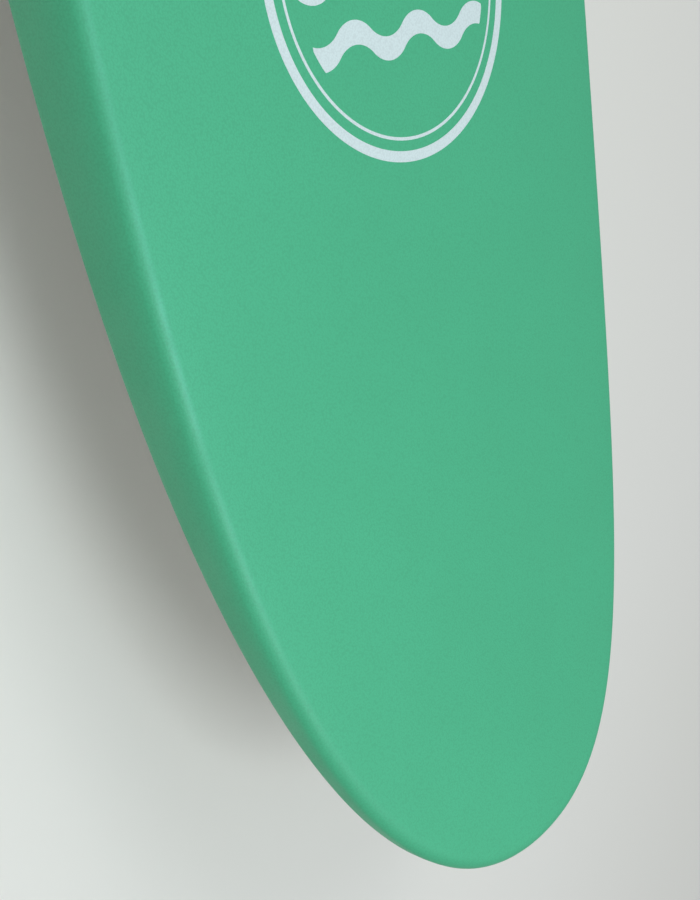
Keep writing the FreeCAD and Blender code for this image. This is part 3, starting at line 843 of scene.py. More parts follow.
@dataclass
class BoardShape:
    """Outline, rocker, crown and rails of the board, the same as the frame's."""

    length: float
    width: float
    wide_x: float = 0.0515
    nose_fullness: float = 0.308
    nose_shoulder: float = 0.664
    tail_fullness: float = 0.218
    tail_shoulder: float = 0.700
    thickness: float = 0.086
    nose_rocker: float = 0.117
    nose_kick: float = 0.225
    nose_entry: float = 0.406
    nose_belly: float = 0.532
    nose_thickness: float = 0.035
    nose_deck_entry: float = 0.305
    nose_deck_belly: float = 0.541
    tail_rocker: float = 0.080
    tail_thickness: float = 0.038
    tail_deck_kick: float = 0.09
    tail_deck_entry: float = 0.300
    tail_deck_belly: float = 0.560
    tail_straight: float = 0.420
    flat_length: float = 0.500
    crown: float = 0.0133
    top_radius: float = 0.014
    bottom_radius: float = 0.016
    top_lean: float = 0.52
    bottom_lean: float = 0.08
    corner_steps: int = 7
    wall_steps: int = 6
    quarter_lanes: int = 120
    line_points: int = 400
    rim: np.ndarray = field(init=False)
    inward: np.ndarray = field(init=False)

    def __post_init__(self) -> None:
        """Work out the outline, its inward normals and the profile tables."""
        end, half = self.length / 2, self.width / 2
        count = self.quarter_lanes + 1
        nose = bezier([(end, 0), (end, self.nose_fullness), (self.wide_x + self.nose_shoulder, half),
                       (self.wide_x, half)], count)
        tail = bezier([(self.wide_x, half), (self.wide_x - self.tail_shoulder, half),
                       (-end, self.tail_fullness), (-end, 0)], count)
        port = np.vstack([nose, tail[1:]])
        starboard = (port * (1, -1))[-2:0:-1]
        self.rim = np.vstack([port, starboard])
        along = np.roll(self.rim, -1, axis=0) - np.roll(self.rim, 1, axis=0)
        along /= np.linalg.norm(along, axis=1)[:, None]
        self.inward = np.stack([-along[:, 1], along[:, 0]], axis=1)
        self._tables()

    def _tables(self) -> None:
        """Tabulate the deck and bottom profiles against x."""
        end, flat, fine = self.length / 2, self.flat_length / 2, self.line_points
        nose_top = self.nose_rocker + self.nose_thickness
        tail_top = self.tail_rocker + self.tail_thickness
        tail_fall = self.tail_deck_kick * self.tail_deck_entry
        deck_tail = bezier([(-end, tail_top), (-end + self.tail_deck_entry, tail_top - tail_fall),
                            (self.wide_x - self.tail_deck_belly, self.thickness),
                            (self.wide_x, self.thickness)], fine)
        deck_nose = bezier([(self.wide_x, self.thickness),
                            (self.wide_x + self.nose_deck_belly, self.thickness),
                            (end - self.nose_deck_entry, nose_top - self.nose_kick * self.nose_deck_entry),
                            (end, nose_top)], fine)
        self.deck_line = np.vstack([deck_tail, deck_nose[1:]])
        bend_x = -end + self.tail_straight
        bend_z = self.tail_rocker - self.tail_slope * self.tail_straight
        rise = bezier([(bend_x, bend_z), ((bend_x - flat) / 2, 0), (-flat, 0)], fine)
        scoop = bezier([(flat, 0), (flat + self.nose_belly, 0),
                        (end - self.nose_entry, self.nose_rocker - self.nose_kick * self.nose_entry),
                        (end, self.nose_rocker)], fine)
        self.bottom_line = np.vstack([[(-end, self.tail_rocker)], rise, scoop])

    @property
    def tail_slope(self) -> float:
        """Rise of the straight part of the tail's bottom, per unit of length."""
        run = self.length / 2 - self.flat_length / 2 - self.tail_straight
        return self.tail_rocker / (self.tail_straight + run / 2)

    @property
    def lanes(self) -> int:
        """Points round the outline."""
        return len(self.rim)

    def deck_height(self, x: float, y: float) -> float:
        """Height of the deck, crown included."""
        line = float(np.interp(x, self.deck_line[:, 0], self.deck_line[:, 1]))
        return line - self.crown * (2 * y / self.width) ** 2

    def bottom_height(self, x: float) -> float:
        """Height of the bottom, which is flat from rail to rail."""
        return float(np.interp(x, self.bottom_line[:, 0], self.bottom_line[:, 1]))

    def inset(self, lane: int, distance: float) -> tuple[float, float]:
        """Point of the outline set in by a distance."""
        x, y = self.rim[lane] + self.inward[lane] * distance
        return float(x), float(y)

    def under_edge(self, lane: int, levels: Sequence[tuple[float, float]]) -> list[Vector]:
        """Points of an edge under the board.

        Args:
            lane: Which lane of the outline.
            levels: Each point's inset from the outline and its lift from the bottom.

        Returns:
            The points.
        """
        points = []
        for distance, lift in levels:
            x, y = self.inset(lane, distance)
            points.append(Vector((x, y, self.bottom_height(x) + lift)))
        return points

    def rail_profile(self, lane: int, side: float, top: float, bottom: float) -> list[Vector]:
        """Points of the rail from the bottom, round the wall, to the deck.

        Args:
            lane: Which lane of the outline.
            side: Inset of the whole profile from the rail.
            top: Inset from the deck.
            bottom: Inset from the bottom.

        Returns:
            The points, the same number for every lane.
        """
        rim_x, rim_y = (float(value) for value in self.rim[lane])
        low = self.bottom_height(rim_x) + bottom
        high = self.deck_height(rim_x, rim_y) - top
        round_low, round_high = self.bottom_radius - bottom, self.top_radius - top
        lean_low, lean_high = math.atan(self.bottom_lean), math.atan(self.top_lean)
        half = (high - low - round_low - round_high) / 2
        in_low = side + self.bottom_lean * half / 2 + round_low * math.cos(lean_low)
        in_high = side + self.top_lean * half / 2 + round_high * math.cos(lean_high)
        fall_low = (self.bottom_height(self.inset(lane, in_low)[0]) + bottom - low) / in_low
        fall_high = (self.deck_height(*self.inset(lane, in_high)) - top - high) / in_high
        centre_low = low + fall_low * in_low + round_low * math.hypot(1, fall_low)
        centre_high = high + fall_high * in_high - round_high * math.hypot(1, fall_high)
        wall_low = centre_low - round_low * math.sin(lean_low)
        wall_high = centre_high + round_high * math.sin(lean_high)
        steep_low = QUARTER + math.atan(fall_low)
        steep_high = QUARTER - math.atan(fall_high)
        profile = arc((in_low, centre_low), round_low, math.pi + steep_low, math.pi + lean_low,
                      self.corner_steps)
        for step in range(1, self.wall_steps):
            share = 2 * step / self.wall_steps - 1
            lean = self.top_lean if share > 0 else self.bottom_lean
            profile.append((side + lean * half / 2 * share * share,
                            wall_low + (wall_high - wall_low) * (1 + share) / 2))
        profile += arc((in_high, centre_high), round_high, math.pi - lean_high, math.pi - steep_high,
                       self.corner_steps)
        return [Vector((*self.inset(lane, distance), z)) for distance, z in profile]

    def run_in(self, lane: int, distance: float, height: Callable[[float, float], float],
               spine_share: float, steps: int) -> list[Vector]:
        """Points from an inset of the outline to the centreline.

        Args:
            lane: Which lane of the outline.
            distance: Inset that the run starts from, which is left out of it.
            height: Height of the surface at x and y.
            spine_share: Where the lane meets the centreline, as a share of its own x.
            steps: Number of points.

        Returns:
            The points.
        """
        start_x, start_y = self.inset(lane, distance)
        spine_x = float(self.rim[lane][0]) * spine_share
        points = []
        for step in range(1, steps + 1):
            share = step / steps
            x = start_x + (spine_x - start_x) * share
            y = start_y * (1 - share)
            points.append(Vector((x, y, height(x, y))))
        return points

    def on_bottom(self, setback: float, y: float) -> Matrix:
        """Frame on the straight part of the tail's bottom.

        Args:
            setback: Distance from the tail's end.
            y: Distance from the centreline.

        Returns:
            The frame, +Z into the board.
        """
        x = -self.length / 2 + setback
        pitch = math.atan(self.tail_slope)
        return Matrix.Translation((x, y, self.bottom_height(x))) @ Matrix.Rotation(pitch, 4, "Y")

    def on_deck(self, setback: float) -> Matrix:
        """Frame on the centreline of the deck.

        Args:
            setback: Distance from the tail's end.

        Returns:
            The frame, +Z out of the board.
        """
        x = -self.length / 2 + setback
        fall = (self.deck_height(x - MILLI, 0) - self.deck_height(x + MILLI, 0)) / (2 * MILLI)
        return Matrix.Translation((x, 0, self.deck_height(x, 0))) @ Matrix.Rotation(math.atan(fall), 4, "Y")

    def half_width_at(self, x: float) -> float:
        """Half the board's width at x, on the port side."""
        port = self.rim[:self.lanes // 2 + 1]
        return float(np.interp(x, port[::-1, 0], port[::-1, 1]))


def ringed_shell(sections: Sequence[Sequence[Vector]]) -> bmesh.types.BMesh:
    """Shell of closed rings, each extruded from the last.

    Args:
        sections: For each lane round the shell, its points from the first ring to the last.

    Returns:
        The shell, with points that fall together merged.
    """
    bm = bmesh.new()
    lane = bm.verts.layers.int.new("lane")
    ring = bmesh.ops.create_circle(bm, segments=len(sections), radius=1.0)["verts"]
    edges = list(bm.edges)
    for number, vert in enumerate(ring):
        vert[lane] = number
    for step in range(len(sections[0])):
        if step:
            grown = bmesh.ops.extrude_edge_only(bm, edges=edges)["geom"]
            ring = [item for item in grown if isinstance(item, bmesh.types.BMVert)]
            edges = [item for item in grown if isinstance(item, bmesh.types.BMEdge)]
        for vert in ring:
            vert.co = sections[vert[lane]][step]
    bmesh.ops.remove_doubles(bm, verts=bm.verts, dist=MERGE)
    bmesh.ops.recalc_face_normals(bm, faces=bm.faces)
    return bm


# ------------------------------------------------------------------------------------------
# Sub-assemblies
# ------------------------------------------------------------------------------------------
class Assembly:
    """A group of pieces that are built, dressed and given to their bodies."""

    def settle(self, thing: bpy.types.Object, body: Body, slot: Slot, *nodes: str) -> None:
        """Give a finished piece its body and hide the frame nodes that it stands for.

        Args:
            thing: The piece.
            body: The body that it moves with.
            slot: The record's material slot; not used.
            nodes: Frame nodes that it replaces.
        """
        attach(thing, body.value)
        if nodes:
            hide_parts(*nodes)
        triangles = sum(len(polygon.vertices) - 2 for polygon in thing.data.polygons)
        LOG.info("%s: %d triangles on %s", thing.name, triangles, body.value)


@dataclass
class LeashPlug(Assembly):
    """Moulded cup in the deck with a bar across it that the leash is tied to."""

    shape: BoardShape
    cup_finish: bpy.types.Material
    bar_finish: bpy.types.Material
    setback: float = 65.0 * MILLI
    flange_radius: float = 18.0 * MILLI
    flange_depth: float = 1.6 * MILLI
    barrel_radius: float = 14.5 * MILLI
    depth: float = 20.0 * MILLI
    wall: float = 3.2 * MILLI
    lip: float = 0.4 * MILLI
    bar_radius: float = 2.3 * MILLI
    bar_level: float = 6.8 * MILLI
    bar_seat: float = 2.0 * MILLI
    bar_ease: float = 0.3 * MILLI
    hole_clearance: float = 0.1 * MILLI
    lip_round: float = 0.9 * MILLI
    foot_ease: float = 1.0 * MILLI
    floor_round: float = 2.5 * MILLI
    floor_steps: int = 6
    sharp: float = 50.0
    bar_sides: int = 48

    @property
    def place(self) -> Matrix:
        """The plug's frame on the deck."""
        return self.shape.on_deck(self.setback)

    def hole(self) -> bmesh.types.BMesh:
        """Solid that cuts the plug's hole in the deck foam."""
        return post(self.flange_radius + self.hole_clearance, -self.depth, self.depth, SEAT_SIDES, self.place)

    def cup(self) -> bmesh.types.BMesh:
        """Turned cup with a rounded lip and a hollow rounded out above its floor.

        Returns:
            The cup, about its own axis.
        """
        bore, barrel = self.barrel_radius - self.wall, self.barrel_radius
        floor = -self.depth + self.wall
        lip_level = self.lip - self.lip_round
        profile = [(0.0, -self.depth), (barrel - self.foot_ease, -self.depth),
                   (barrel, -self.depth + self.foot_ease), (barrel, -self.flange_depth),
                   (self.flange_radius, -self.flange_depth)]
        profile += arc((self.flange_radius - self.lip_round, lip_level), self.lip_round, 0.0, QUARTER)
        profile += arc((bore + self.lip_round, lip_level), self.lip_round, QUARTER, math.pi)
        profile += arc((bore + self.floor_round, floor + self.floor_round), self.floor_round, math.pi,
                       math.pi + QUARTER, self.floor_steps)
        return lathe(profile + [(0.0, floor)], SEAT_SIDES)

    def build(self) -> None:
        """Make the cup and its bar."""
        cup_mesh = self.cup()
        cup_mesh.transform(self.place)
        cup = piece("leash_plug_cup", cup_mesh, self.cup_finish, self.sharp)
        self.settle(cup, Body.BOARD, Slot.CUP_PLASTIC, "leash_cup")
        half = self.barrel_radius - self.wall + self.bar_seat
        across = Matrix.Translation((0, 0, -self.bar_level)) @ Matrix.Rotation(QUARTER, 4, "X")
        bar_mesh = lathe([(0.0, -half), (self.bar_radius, self.bar_ease - half),
                          (self.bar_radius, half - self.bar_ease), (0.0, half)], self.bar_sides)
        bar_mesh.transform(self.place @ across)
        bar = piece("leash_plug_bar", bar_mesh, self.bar_finish, self.sharp)
        self.settle(bar, Body.BOARD, Slot.FASTENER_STEEL, "leash_bar")


@dataclass
class FoamSkin(Assembly):
    """Deck foam, wrapped round the rails to its seam under the board, with the leash plug's hole."""

    shape: BoardShape
    finish: bpy.types.Material
    plug: LeashPlug
    thickness: float = 5.0 * MILLI
    panel_depth: float = 4.0 * MILLI
    wrap: float = 22.0 * MILLI
    seam_round: float = 0.5 * MILLI
    spine_share: float = 0.985
    outer_steps: int = 13
    inner_steps: int = 5

    def section(self, lane: int) -> list[Vector]:
        """One lane of the skin.

        Args:
            lane: Which lane of the outline.

        Returns:
            Its points, from the middle of the underside, out and round the seam, and back to the middle
            of the deck.
        """
        shape = self.shape
        inner = shape.rail_profile(lane, self.thickness, self.thickness, self.panel_depth)
        outer = shape.rail_profile(lane, 0.0, 0.0, 0.0)
        inside = shape.run_in(lane, self.top_edge(lane, inner[-1]), self.inner_height, self.spine_share,
                              self.inner_steps)
        outside = shape.run_in(lane, self.top_edge(lane, outer[-1]), shape.deck_height, self.spine_share,
                               self.outer_steps)
        ease = self.seam_round * ROUND_MIDDLE
        edge = shape.under_edge(lane, ((self.wrap, self.panel_depth), (self.wrap, self.seam_round),
                                       (self.wrap - ease, ease), (self.wrap - self.seam_round, 0.0)))
        return inside[::-1] + inner[::-1] + edge + outer + outside

    def top_edge(self, lane: int, point: Vector) -> float:
        """How far in from the outline a point of the lane is.

        Args:
            lane: Which lane of the outline.
            point: The point.

        Returns:
            Its inset.
        """
        rim_x, rim_y = self.shape.rim[lane]
        inward = self.shape.inward[lane]
        return float((point.x - rim_x) * inward[0] + (point.y - rim_y) * inward[1])

    def inner_height(self, x: float, y: float) -> float:
        """Height of the skin's underside."""
        return self.shape.deck_height(x, y) - self.thickness

    def build(self) -> None:
        """Make the skin and cut the leash plug's hole in it."""
        sections = [self.section(lane) for lane in range(self.shape.lanes)]
        skin = piece("foam_deck_skin", ringed_shell(sections), self.finish)
        carve(skin, [self.plug.hole()])
        self.settle(skin, Body.BOARD, Slot.DECK_FOAM, "deck_skin")


@dataclass
class SlickPanel(Assembly):
    """Slick plastic sheet let into the bottom, with holes for the fin fittings."""

    shape: BoardShape
    finish: bpy.types.Material
    fittings: Sequence["FinFitting"]
    thickness: float = 1.0 * MILLI
    edge_inset: float = 22.7 * MILLI
    edge_round: float = 0.4 * MILLI
    spine_share: float = 0.975
    steps: int = 8

    def section(self, lane: int) -> list[Vector]:
        """One lane of the sheet.

        Args:
            lane: Which lane of the outline.

        Returns:
            Its points, from the middle of its back, out, round its edge and back to the middle of its face.
        """
        shape, inset, ease = self.shape, self.edge_inset, self.edge_round * ROUND_MIDDLE
        edge = shape.under_edge(lane, ((inset, self.thickness), (inset, self.edge_round),
                                       (inset + ease, ease), (inset + self.edge_round, 0.0)))
        back = shape.run_in(lane, inset, lambda x, y: shape.bottom_height(x) + self.thickness,
                            self.spine_share, self.steps)
        face = shape.run_in(lane, inset + self.edge_round, lambda x, y: shape.bottom_height(x),
                            self.spine_share, self.steps)
        return back[::-1] + edge + face

    def build(self) -> None:
        """Make the sheet and cut its holes."""
        sections = [self.section(lane) for lane in range(self.shape.lanes)]
        sheet = piece("slick_bottom_sheet", ringed_shell(sections), self.finish)
        carve(sheet, [hole for fitting in self.fittings for hole in fitting.seats()])
        self.settle(sheet, Body.BOARD, Slot.SLICK_SHEET, "slick_bottom")


@dataclass
class Roundel(Assembly):
    """Two plain rings round three wavy bands, printed on film that is set in the deck."""

    shape: BoardShape
    finish: bpy.types.Material
    setback: float = 0.734
    radius: float = 136.4 * MILLI
    line: float = 8.1 * MILLI
    inner_radius: float = 120.5 * MILLI
    inner_line: float = 2.4 * MILLI
    face_radius: float = 108.0 * MILLI
    chord: float = 36.0 * MILLI
    rise: float = 7.5 * MILLI
    band: float = 17.0 * MILLI
    tip: float = 3.0 * MILLI
    stride: float = 0.1 * MILLI
    pitch: float = 45.0 * MILLI
    proud: float = 0.15 * MILLI
    film: float = 0.4 * MILLI
    around: int = 288
    along: int = 216
    bands_across: int = 4

    @property
    def middle(self) -> float:
        """Where the roundel's middle is along the board."""
        return self.shape.length / 2 - self.setback

    def lay(self, bm: bmesh.types.BMesh) -> bmesh.types.BMesh:
        """Drop a flat film onto the deck and give it its thickness.

        Args:
            bm: The film.

        Returns:
            The same film, laid.
        """
        for vert in bm.verts:
            vert.co.z = self.shape.deck_height(vert.co.x, vert.co.y) + self.proud
        grown = bmesh.ops.extrude_face_region(bm, geom=bm.faces[:])["geom"]
        under = [item for item in grown if isinstance(item, bmesh.types.BMVert)]
        bmesh.ops.translate(bm, vec=(0, 0, -self.film), verts=under)
        bmesh.ops.recalc_face_normals(bm, faces=bm.faces)
        return bm

    def ring(self, radius: float, line: float) -> bmesh.types.BMesh:
        """Ring laid on the deck.

        Args:
            radius: Its outer radius.
            line: Its width.

        Returns:
            The ring.
        """
        radii = [radius - line * step / self.bands_across for step in range(self.bands_across + 1)]
        turns = [math.tau * number / self.around for number in range(self.around)]
        return self.lay(ringed_shell([
            [Vector((self.middle + reach * math.cos(turn), reach * math.sin(turn), 0.0)) for reach in radii]
            for turn in turns]))

    def wave(self, y: float) -> float:
        """Line of a wave, made of arcs of one chord that bulge aft and forward in turn.

        Args:
            y: Distance from the centreline.

        Returns:
            How far forward the line is there.
        """
        step = math.floor(y / self.chord)
        across = y - (step + 0.5) * self.chord
        arc = (self.chord ** 2 / 4 + self.rise ** 2) / (2 * self.rise)
        bulge = math.sqrt(arc ** 2 - across ** 2) - (arc - self.rise)
        return bulge if step % 2 else -bulge

    def span(self, centre: float, y: float) -> Span:
        """Aft and forward edge of a band, clipped to the circle that the bands fill.

        Args:
            centre: How far forward of the roundel's middle the band is.
            y: Distance from the centreline.

        Returns:
            The two edges.
        """
        clip = math.sqrt(max(self.face_radius ** 2 - y * y, 0.0))
        back = max(centre - self.band / 2 + self.wave(y), -clip)
        front = min(centre + self.band / 2 + self.wave(y), clip)
        return back, front

    def reach(self, centre: float, side: float) -> float:
        """How far a band runs to one side, until the circle has narrowed it to its tip.

        Args:
            centre: How far forward of the roundel's middle the band is.
            side: 1 to port, -1 to starboard.

        Returns:
            The y of its end.
        """
        y = 0.0
        while y < self.face_radius:
            back, front = self.span(centre, side * y)
            if front - back < self.tip:
                break
            y += self.stride
        return side * y

    def wave_band(self, centre: float) -> bmesh.types.BMesh:
        """Wavy band laid on the deck.

        Args:
            centre: How far forward of the roundel's middle it is.

        Returns:
            The band.
        """
        starboard, port = self.reach(centre, -1.0), self.reach(centre, 1.0)
        bm = bmesh.new()
        bmesh.ops.create_grid(bm, x_segments=self.bands_across, y_segments=self.along, size=1.0)
        for vert in bm.verts:
            y = starboard + (port - starboard) * (vert.co.y + 1) / 2
            back, front = self.span(centre, y)
            share = (vert.co.x + 1) / 2
            vert.co = Vector((self.middle + back + (front - back) * share, y, 0.0))
        return self.lay(bm)

    def build(self) -> None:
        """Print the rings and the bands."""
        for name, radius, line in (("roundel_bold_ring", self.radius, self.line),
                                   ("roundel_fine_ring", self.inner_radius, self.inner_line)):
            ring = piece(name, self.ring(radius, line), self.finish)
            nodes = ["emblem_rings"] if radius == self.radius else []
            self.settle(ring, Body.BOARD, Slot.PRINT_FILM, *nodes)
        for name, step in (("back", -1), ("middle", 0), ("front", 1)):
            band = piece("roundel_wave_" + name, self.wave_band(step * self.pitch), self.finish)
            self.settle(band, Body.BOARD, Slot.PRINT_FILM, *(["emblem_waves"] if step == 0 else []))


@dataclass(frozen=True)
class Foil:
    """Plan and section of a fin, hanging down from its base in its own frame."""

    base: float
    rake: float
    tip_chord: float
    depth: float
    thickness: float
    top: float = 0.0
    flat_side: int = 0
    tip_round: float = 0.78
    base_taper: float = 1.15
    tip_spread: float = 0.8
    rake_power: float = 1.6
    thickness_taper: float = 0.62
    foil_nose: float = 1.25
    foil_belly: float = 1.35
    flat_swell: float = 0.35
    half_stern: float = 0.5 * MILLI
    around: int = 28
    down: int = 44
    last_level: float = 0.997

    def section(self, share: float) -> list[Vector]:
        """Closed foil across the fin.

        Args:
            share: How far down the fin it is, 0 at the base and 1 at the tip.

        Returns:
            Its points, from the leading edge round to it again.
        """
        chord = self.base * (1 - share) ** self.base_taper + self.tip_chord * share ** self.tip_spread
        if share > self.tip_round:
            past = (share - self.tip_round) / (1 - self.tip_round)
            chord *= math.sqrt(1 - past ** 2)
        middle = -self.rake * share ** self.rake_power
        half = self.thickness * (1 - self.thickness_taper * share) / 2
        front, back = middle + chord / 2, middle - chord / 2
        stern = min(self.half_stern, half / 2)
        z = self.top - share * (self.depth + self.top)
        points: list[Vector] = []
        for side in (1, -1):
            swell = side * half * (self.flat_swell if side == self.flat_side else 1.0)
            curve = bezier([(front, 0), (front, swell * self.foil_nose), (middle, swell * self.foil_belly),
                            (back, side * stern)], self.around)
            run = [Vector((float(x), float(y), z)) for x, y in curve]
            points += run if side > 0 else run[:0:-1]
        return points

    def blade(self) -> bmesh.types.BMesh:
        """Foiled blade as a closed, smooth solid.

        Returns:
            The blade, in the fin's own frame.
        """
        shares = [self.last_level * math.sin(QUARTER * step / self.down) for step in range(self.down + 1)]
        rings = [self.section(share) for share in shares]
        bm = ringed_shell([list(lane) for lane in zip(*rings)])
        bmesh.ops.holes_fill(bm, edges=[edge for edge in bm.edges if edge.is_boundary], sides=0)
        bmesh.ops.recalc_face_normals(bm, faces=bm.faces)
        return bm


class FinFitting(Assembly):
    """A fitting let into the bottom of the tail."""

    @property
    def place(self) -> Matrix:
        """The fitting's frame on the bottom."""
        raise NotImplementedError

    def seats(self) -> list[bmesh.types.BMesh]:
        """Solids that cut this fitting's holes in the bottom."""
        raise NotImplementedError

    def seat(self, size: Sequence[float], station: float, sides: int) -> bmesh.types.BMesh:
        """Solid that cuts one round-ended hole in the bottom.

        Args:
            size: Length, width and height of what sits in the hole.
            station: Where it is along the fitting.
            sides: Faces around its two ends together.

        Returns:
            The solid, half above and half below the bottom's face.
        """
        seat = stadium(*size, sides)
        bmesh.ops.translate(seat, vec=(station, 0, -size[2] / 2), verts=seat.verts)
        seat.transform(self.place)
        return seat


@dataclass
class CentreFinSet(FinFitting):
    """Slotted box with the centre fin that slides in it, its screw and its nut plate."""

    shape: BoardShape
    finishes: Finishes
    setback: float = 251.0 * MILLI
    box_length: float = 270.0 * MILLI
    box_width: float = 27.0 * MILLI
    box_height: float = 28.0 * MILLI
    slot_length: float = 250.0 * MILLI
    slot_width: float = 9.6 * MILLI
    slot_depth: float = 25.0 * MILLI
    groove_depth: float = 2.3 * MILLI
    groove_height: float = 5.4 * MILLI
    groove_level: float = 8.0 * MILLI
    drop_in: float = 16.0 * MILLI
    tab_height: float = 20.0 * MILLI
    tab_root: float = 0.6 * MILLI
    tongue: float = 17.5 * MILLI
    tongue_root: float = 2.0 * MILLI
    tongue_level: float = 1.4 * MILLI
    tongue_thickness: float = 5.0 * MILLI
    pin_radius: float = 2.4 * MILLI
    pin_inset: float = 10.0 * MILLI
    screw_radius: float = 2.085 * MILLI
    screw_length: float = 16.0 * MILLI
    screw_pitch: float = 0.794 * MILLI
    head_radius: float = 4.0 * MILLI
    head_height: float = 2.4 * MILLI
    plate_thickness: float = 3.2 * MILLI
    plate_ease: float = 0.3 * MILLI
    clearance: float = 0.3 * MILLI
    screw_clearance: float = 0.15 * MILLI
    edge_round: float = 0.7 * MILLI
    round_steps: int = 3
    thread_depth: float = 0.35 * MILLI
    head_ease: float = 0.4 * MILLI
    tip_ease: float = 0.3 * MILLI
    tip_share: float = 0.7
    screw_sides: int = 48
    screw_sharp: float = 30.0
    foil: Foil = Foil(base=165.0 * MILLI, rake=118.0 * MILLI, tip_chord=46.0 * MILLI, depth=203.0 * MILLI,
                      thickness=9.0 * MILLI)

    @property
    def place(self) -> Matrix:
        """The box's frame on the bottom."""
        return self.shape.on_bottom(self.setback, 0.0)

    @property
    def front(self) -> float:
        """Front end of the fin's tongue, in the box's frame."""
        return (self.foil.base + self.tongue) / 2

    @property
    def screw_stand(self) -> Matrix:
        """Where the screw stands, in the box's frame."""
        return Matrix.Translation((self.front - self.tongue / 2, 0, 0))

    @property
    def pin_level(self) -> float:
        """Level of the pin, in the middle of the grooves."""
        return self.groove_level + self.groove_height / 2

    @property
    def bore(self) -> float:
        """Radius of the screw's holes."""
        return self.screw_radius + self.screw_clearance

    def seats(self) -> list[bmesh.types.BMesh]:
        """The box's hole in the bottom."""
        return [self.seat((self.box_length, self.box_width, self.box_height), 0, SEAT_SIDES)]

    def box(self) -> bpy.types.Object:
        """The slotted box with its grooves, drop-in and eased edges.

        Returns:
            The box, in its place.
        """
        groove_width = self.slot_width + 2 * self.groove_depth
        top = self.groove_level + self.groove_height
        shell = stadium(self.box_length, self.box_width, self.box_height, SEAT_SIDES)
        body = piece("fin_box_moulding", shell, self.finishes.box)
        soften(body, self.edge_round, self.round_steps)
        for size, level in (((self.slot_length, self.slot_width, 2 * self.slot_depth), 0),
                            ((self.slot_length, groove_width, self.groove_height), self.pin_level),
                            ((self.drop_in, groove_width, 2 * top), 0)):
            carve(body, [block(size, (0, 0, level))])
        body.data.transform(self.place)
        return body

    def fin(self) -> bpy.types.Object:
        """The foiled fin with its tab, tongue and holes.

        Returns:
            The fin, in its place.
        """
        width = self.slot_width - 2 * self.clearance
        middle = -self.tongue / 2
        blade = self.foil.blade()
        bmesh.ops.translate(blade, vec=(middle, 0, 0), verts=blade.verts)
        fin = piece("centre_fin_moulding", blade, self.finishes.fin)
        tab = block((self.foil.base, width, self.tab_height),
                    (middle, 0, self.tab_height / 2 - self.tab_root))
        tongue_length = self.tongue + self.tongue_root
        tongue = block((tongue_length, width, self.tongue_thickness),
                       (self.front - tongue_length / 2, 0, self.tongue_level + self.tongue_thickness / 2))
        carve(fin, [tab], Joinery.JOIN)
        carve(fin, [tongue], Joinery.JOIN)
        pin_place = Matrix.Translation((self.pin_inset - self.front, 0, self.pin_level))
        pin_turn = pin_place @ Matrix.Rotation(QUARTER, 4, "X")
        carve(fin, [post(self.pin_radius, -width, width, BORE_SIDES, pin_turn),
                    post(self.bore, -width, self.tab_height * 2, BORE_SIDES, self.screw_stand)])
        fin.data.transform(self.place)
        return fin

    def screw(self) -> bpy.types.Object:
        """Slotted cheese-head screw with its thread's crests and roots.

        Returns:
            The screw, in its place.
        """
        root = self.screw_radius - self.thread_depth
        low, tip = self.tongue_level, self.tongue_level + self.screw_length
        head_low = low - self.head_height
        profile = [(0.0, head_low), (self.head_radius - self.head_ease, head_low),
                   (self.head_radius, head_low + self.head_ease), (self.head_radius, low),
                   (self.screw_radius, low)]
        profile += thread(root, self.screw_radius, low, self.screw_pitch,
                          int(self.screw_length / self.screw_pitch) - 1)
        profile += [(root, tip - self.tip_ease), (root * self.tip_share, tip), (0.0, tip)]
        screw = piece("fin_screw_turned", lathe(profile, self.screw_sides), self.finishes.steel,
                      self.screw_sharp)
        slot = block((3 * self.head_radius, self.head_height / 2, self.head_height), (0, 0, head_low))
        carve(screw, [slot])
        screw.data.transform(self.place @ self.screw_stand)
        return screw

    def plate(self) -> bpy.types.Object:
        """Square nut plate with eased edges and its threaded hole.

        Returns:
            The plate, in its place.
        """
        side = self.slot_width + 2 * (self.groove_depth - self.clearance)
        level = self.groove_level + self.clearance
        plate = piece("fin_nut_plate", block((side, side, self.plate_thickness),
                                             (0, 0, level + self.plate_thickness / 2)), self.finishes.brass)
        soften(plate, self.plate_ease)
        carve(plate, [post(self.bore, 0.0, self.tab_height, BORE_SIDES)])
        plate.data.transform(self.place @ self.screw_stand)
        return plate

    def build(self) -> None:
        """Make the box, the fin, the screw and the plate."""
        self.settle(self.box(), Body.BOARD, Slot.BOX_PLASTIC, "fin_box")
        self.settle(self.fin(), Body.CENTRE_FIN, Slot.FIN_PLASTIC, "centre_fin")
        self.settle(self.screw(), Body.FIN_SCREW, Slot.FASTENER_STEEL, "fin_screw")
        self.settle(self.plate(), Body.FIN_PLATE, Slot.PLATE_BRASS, "fin_plate")


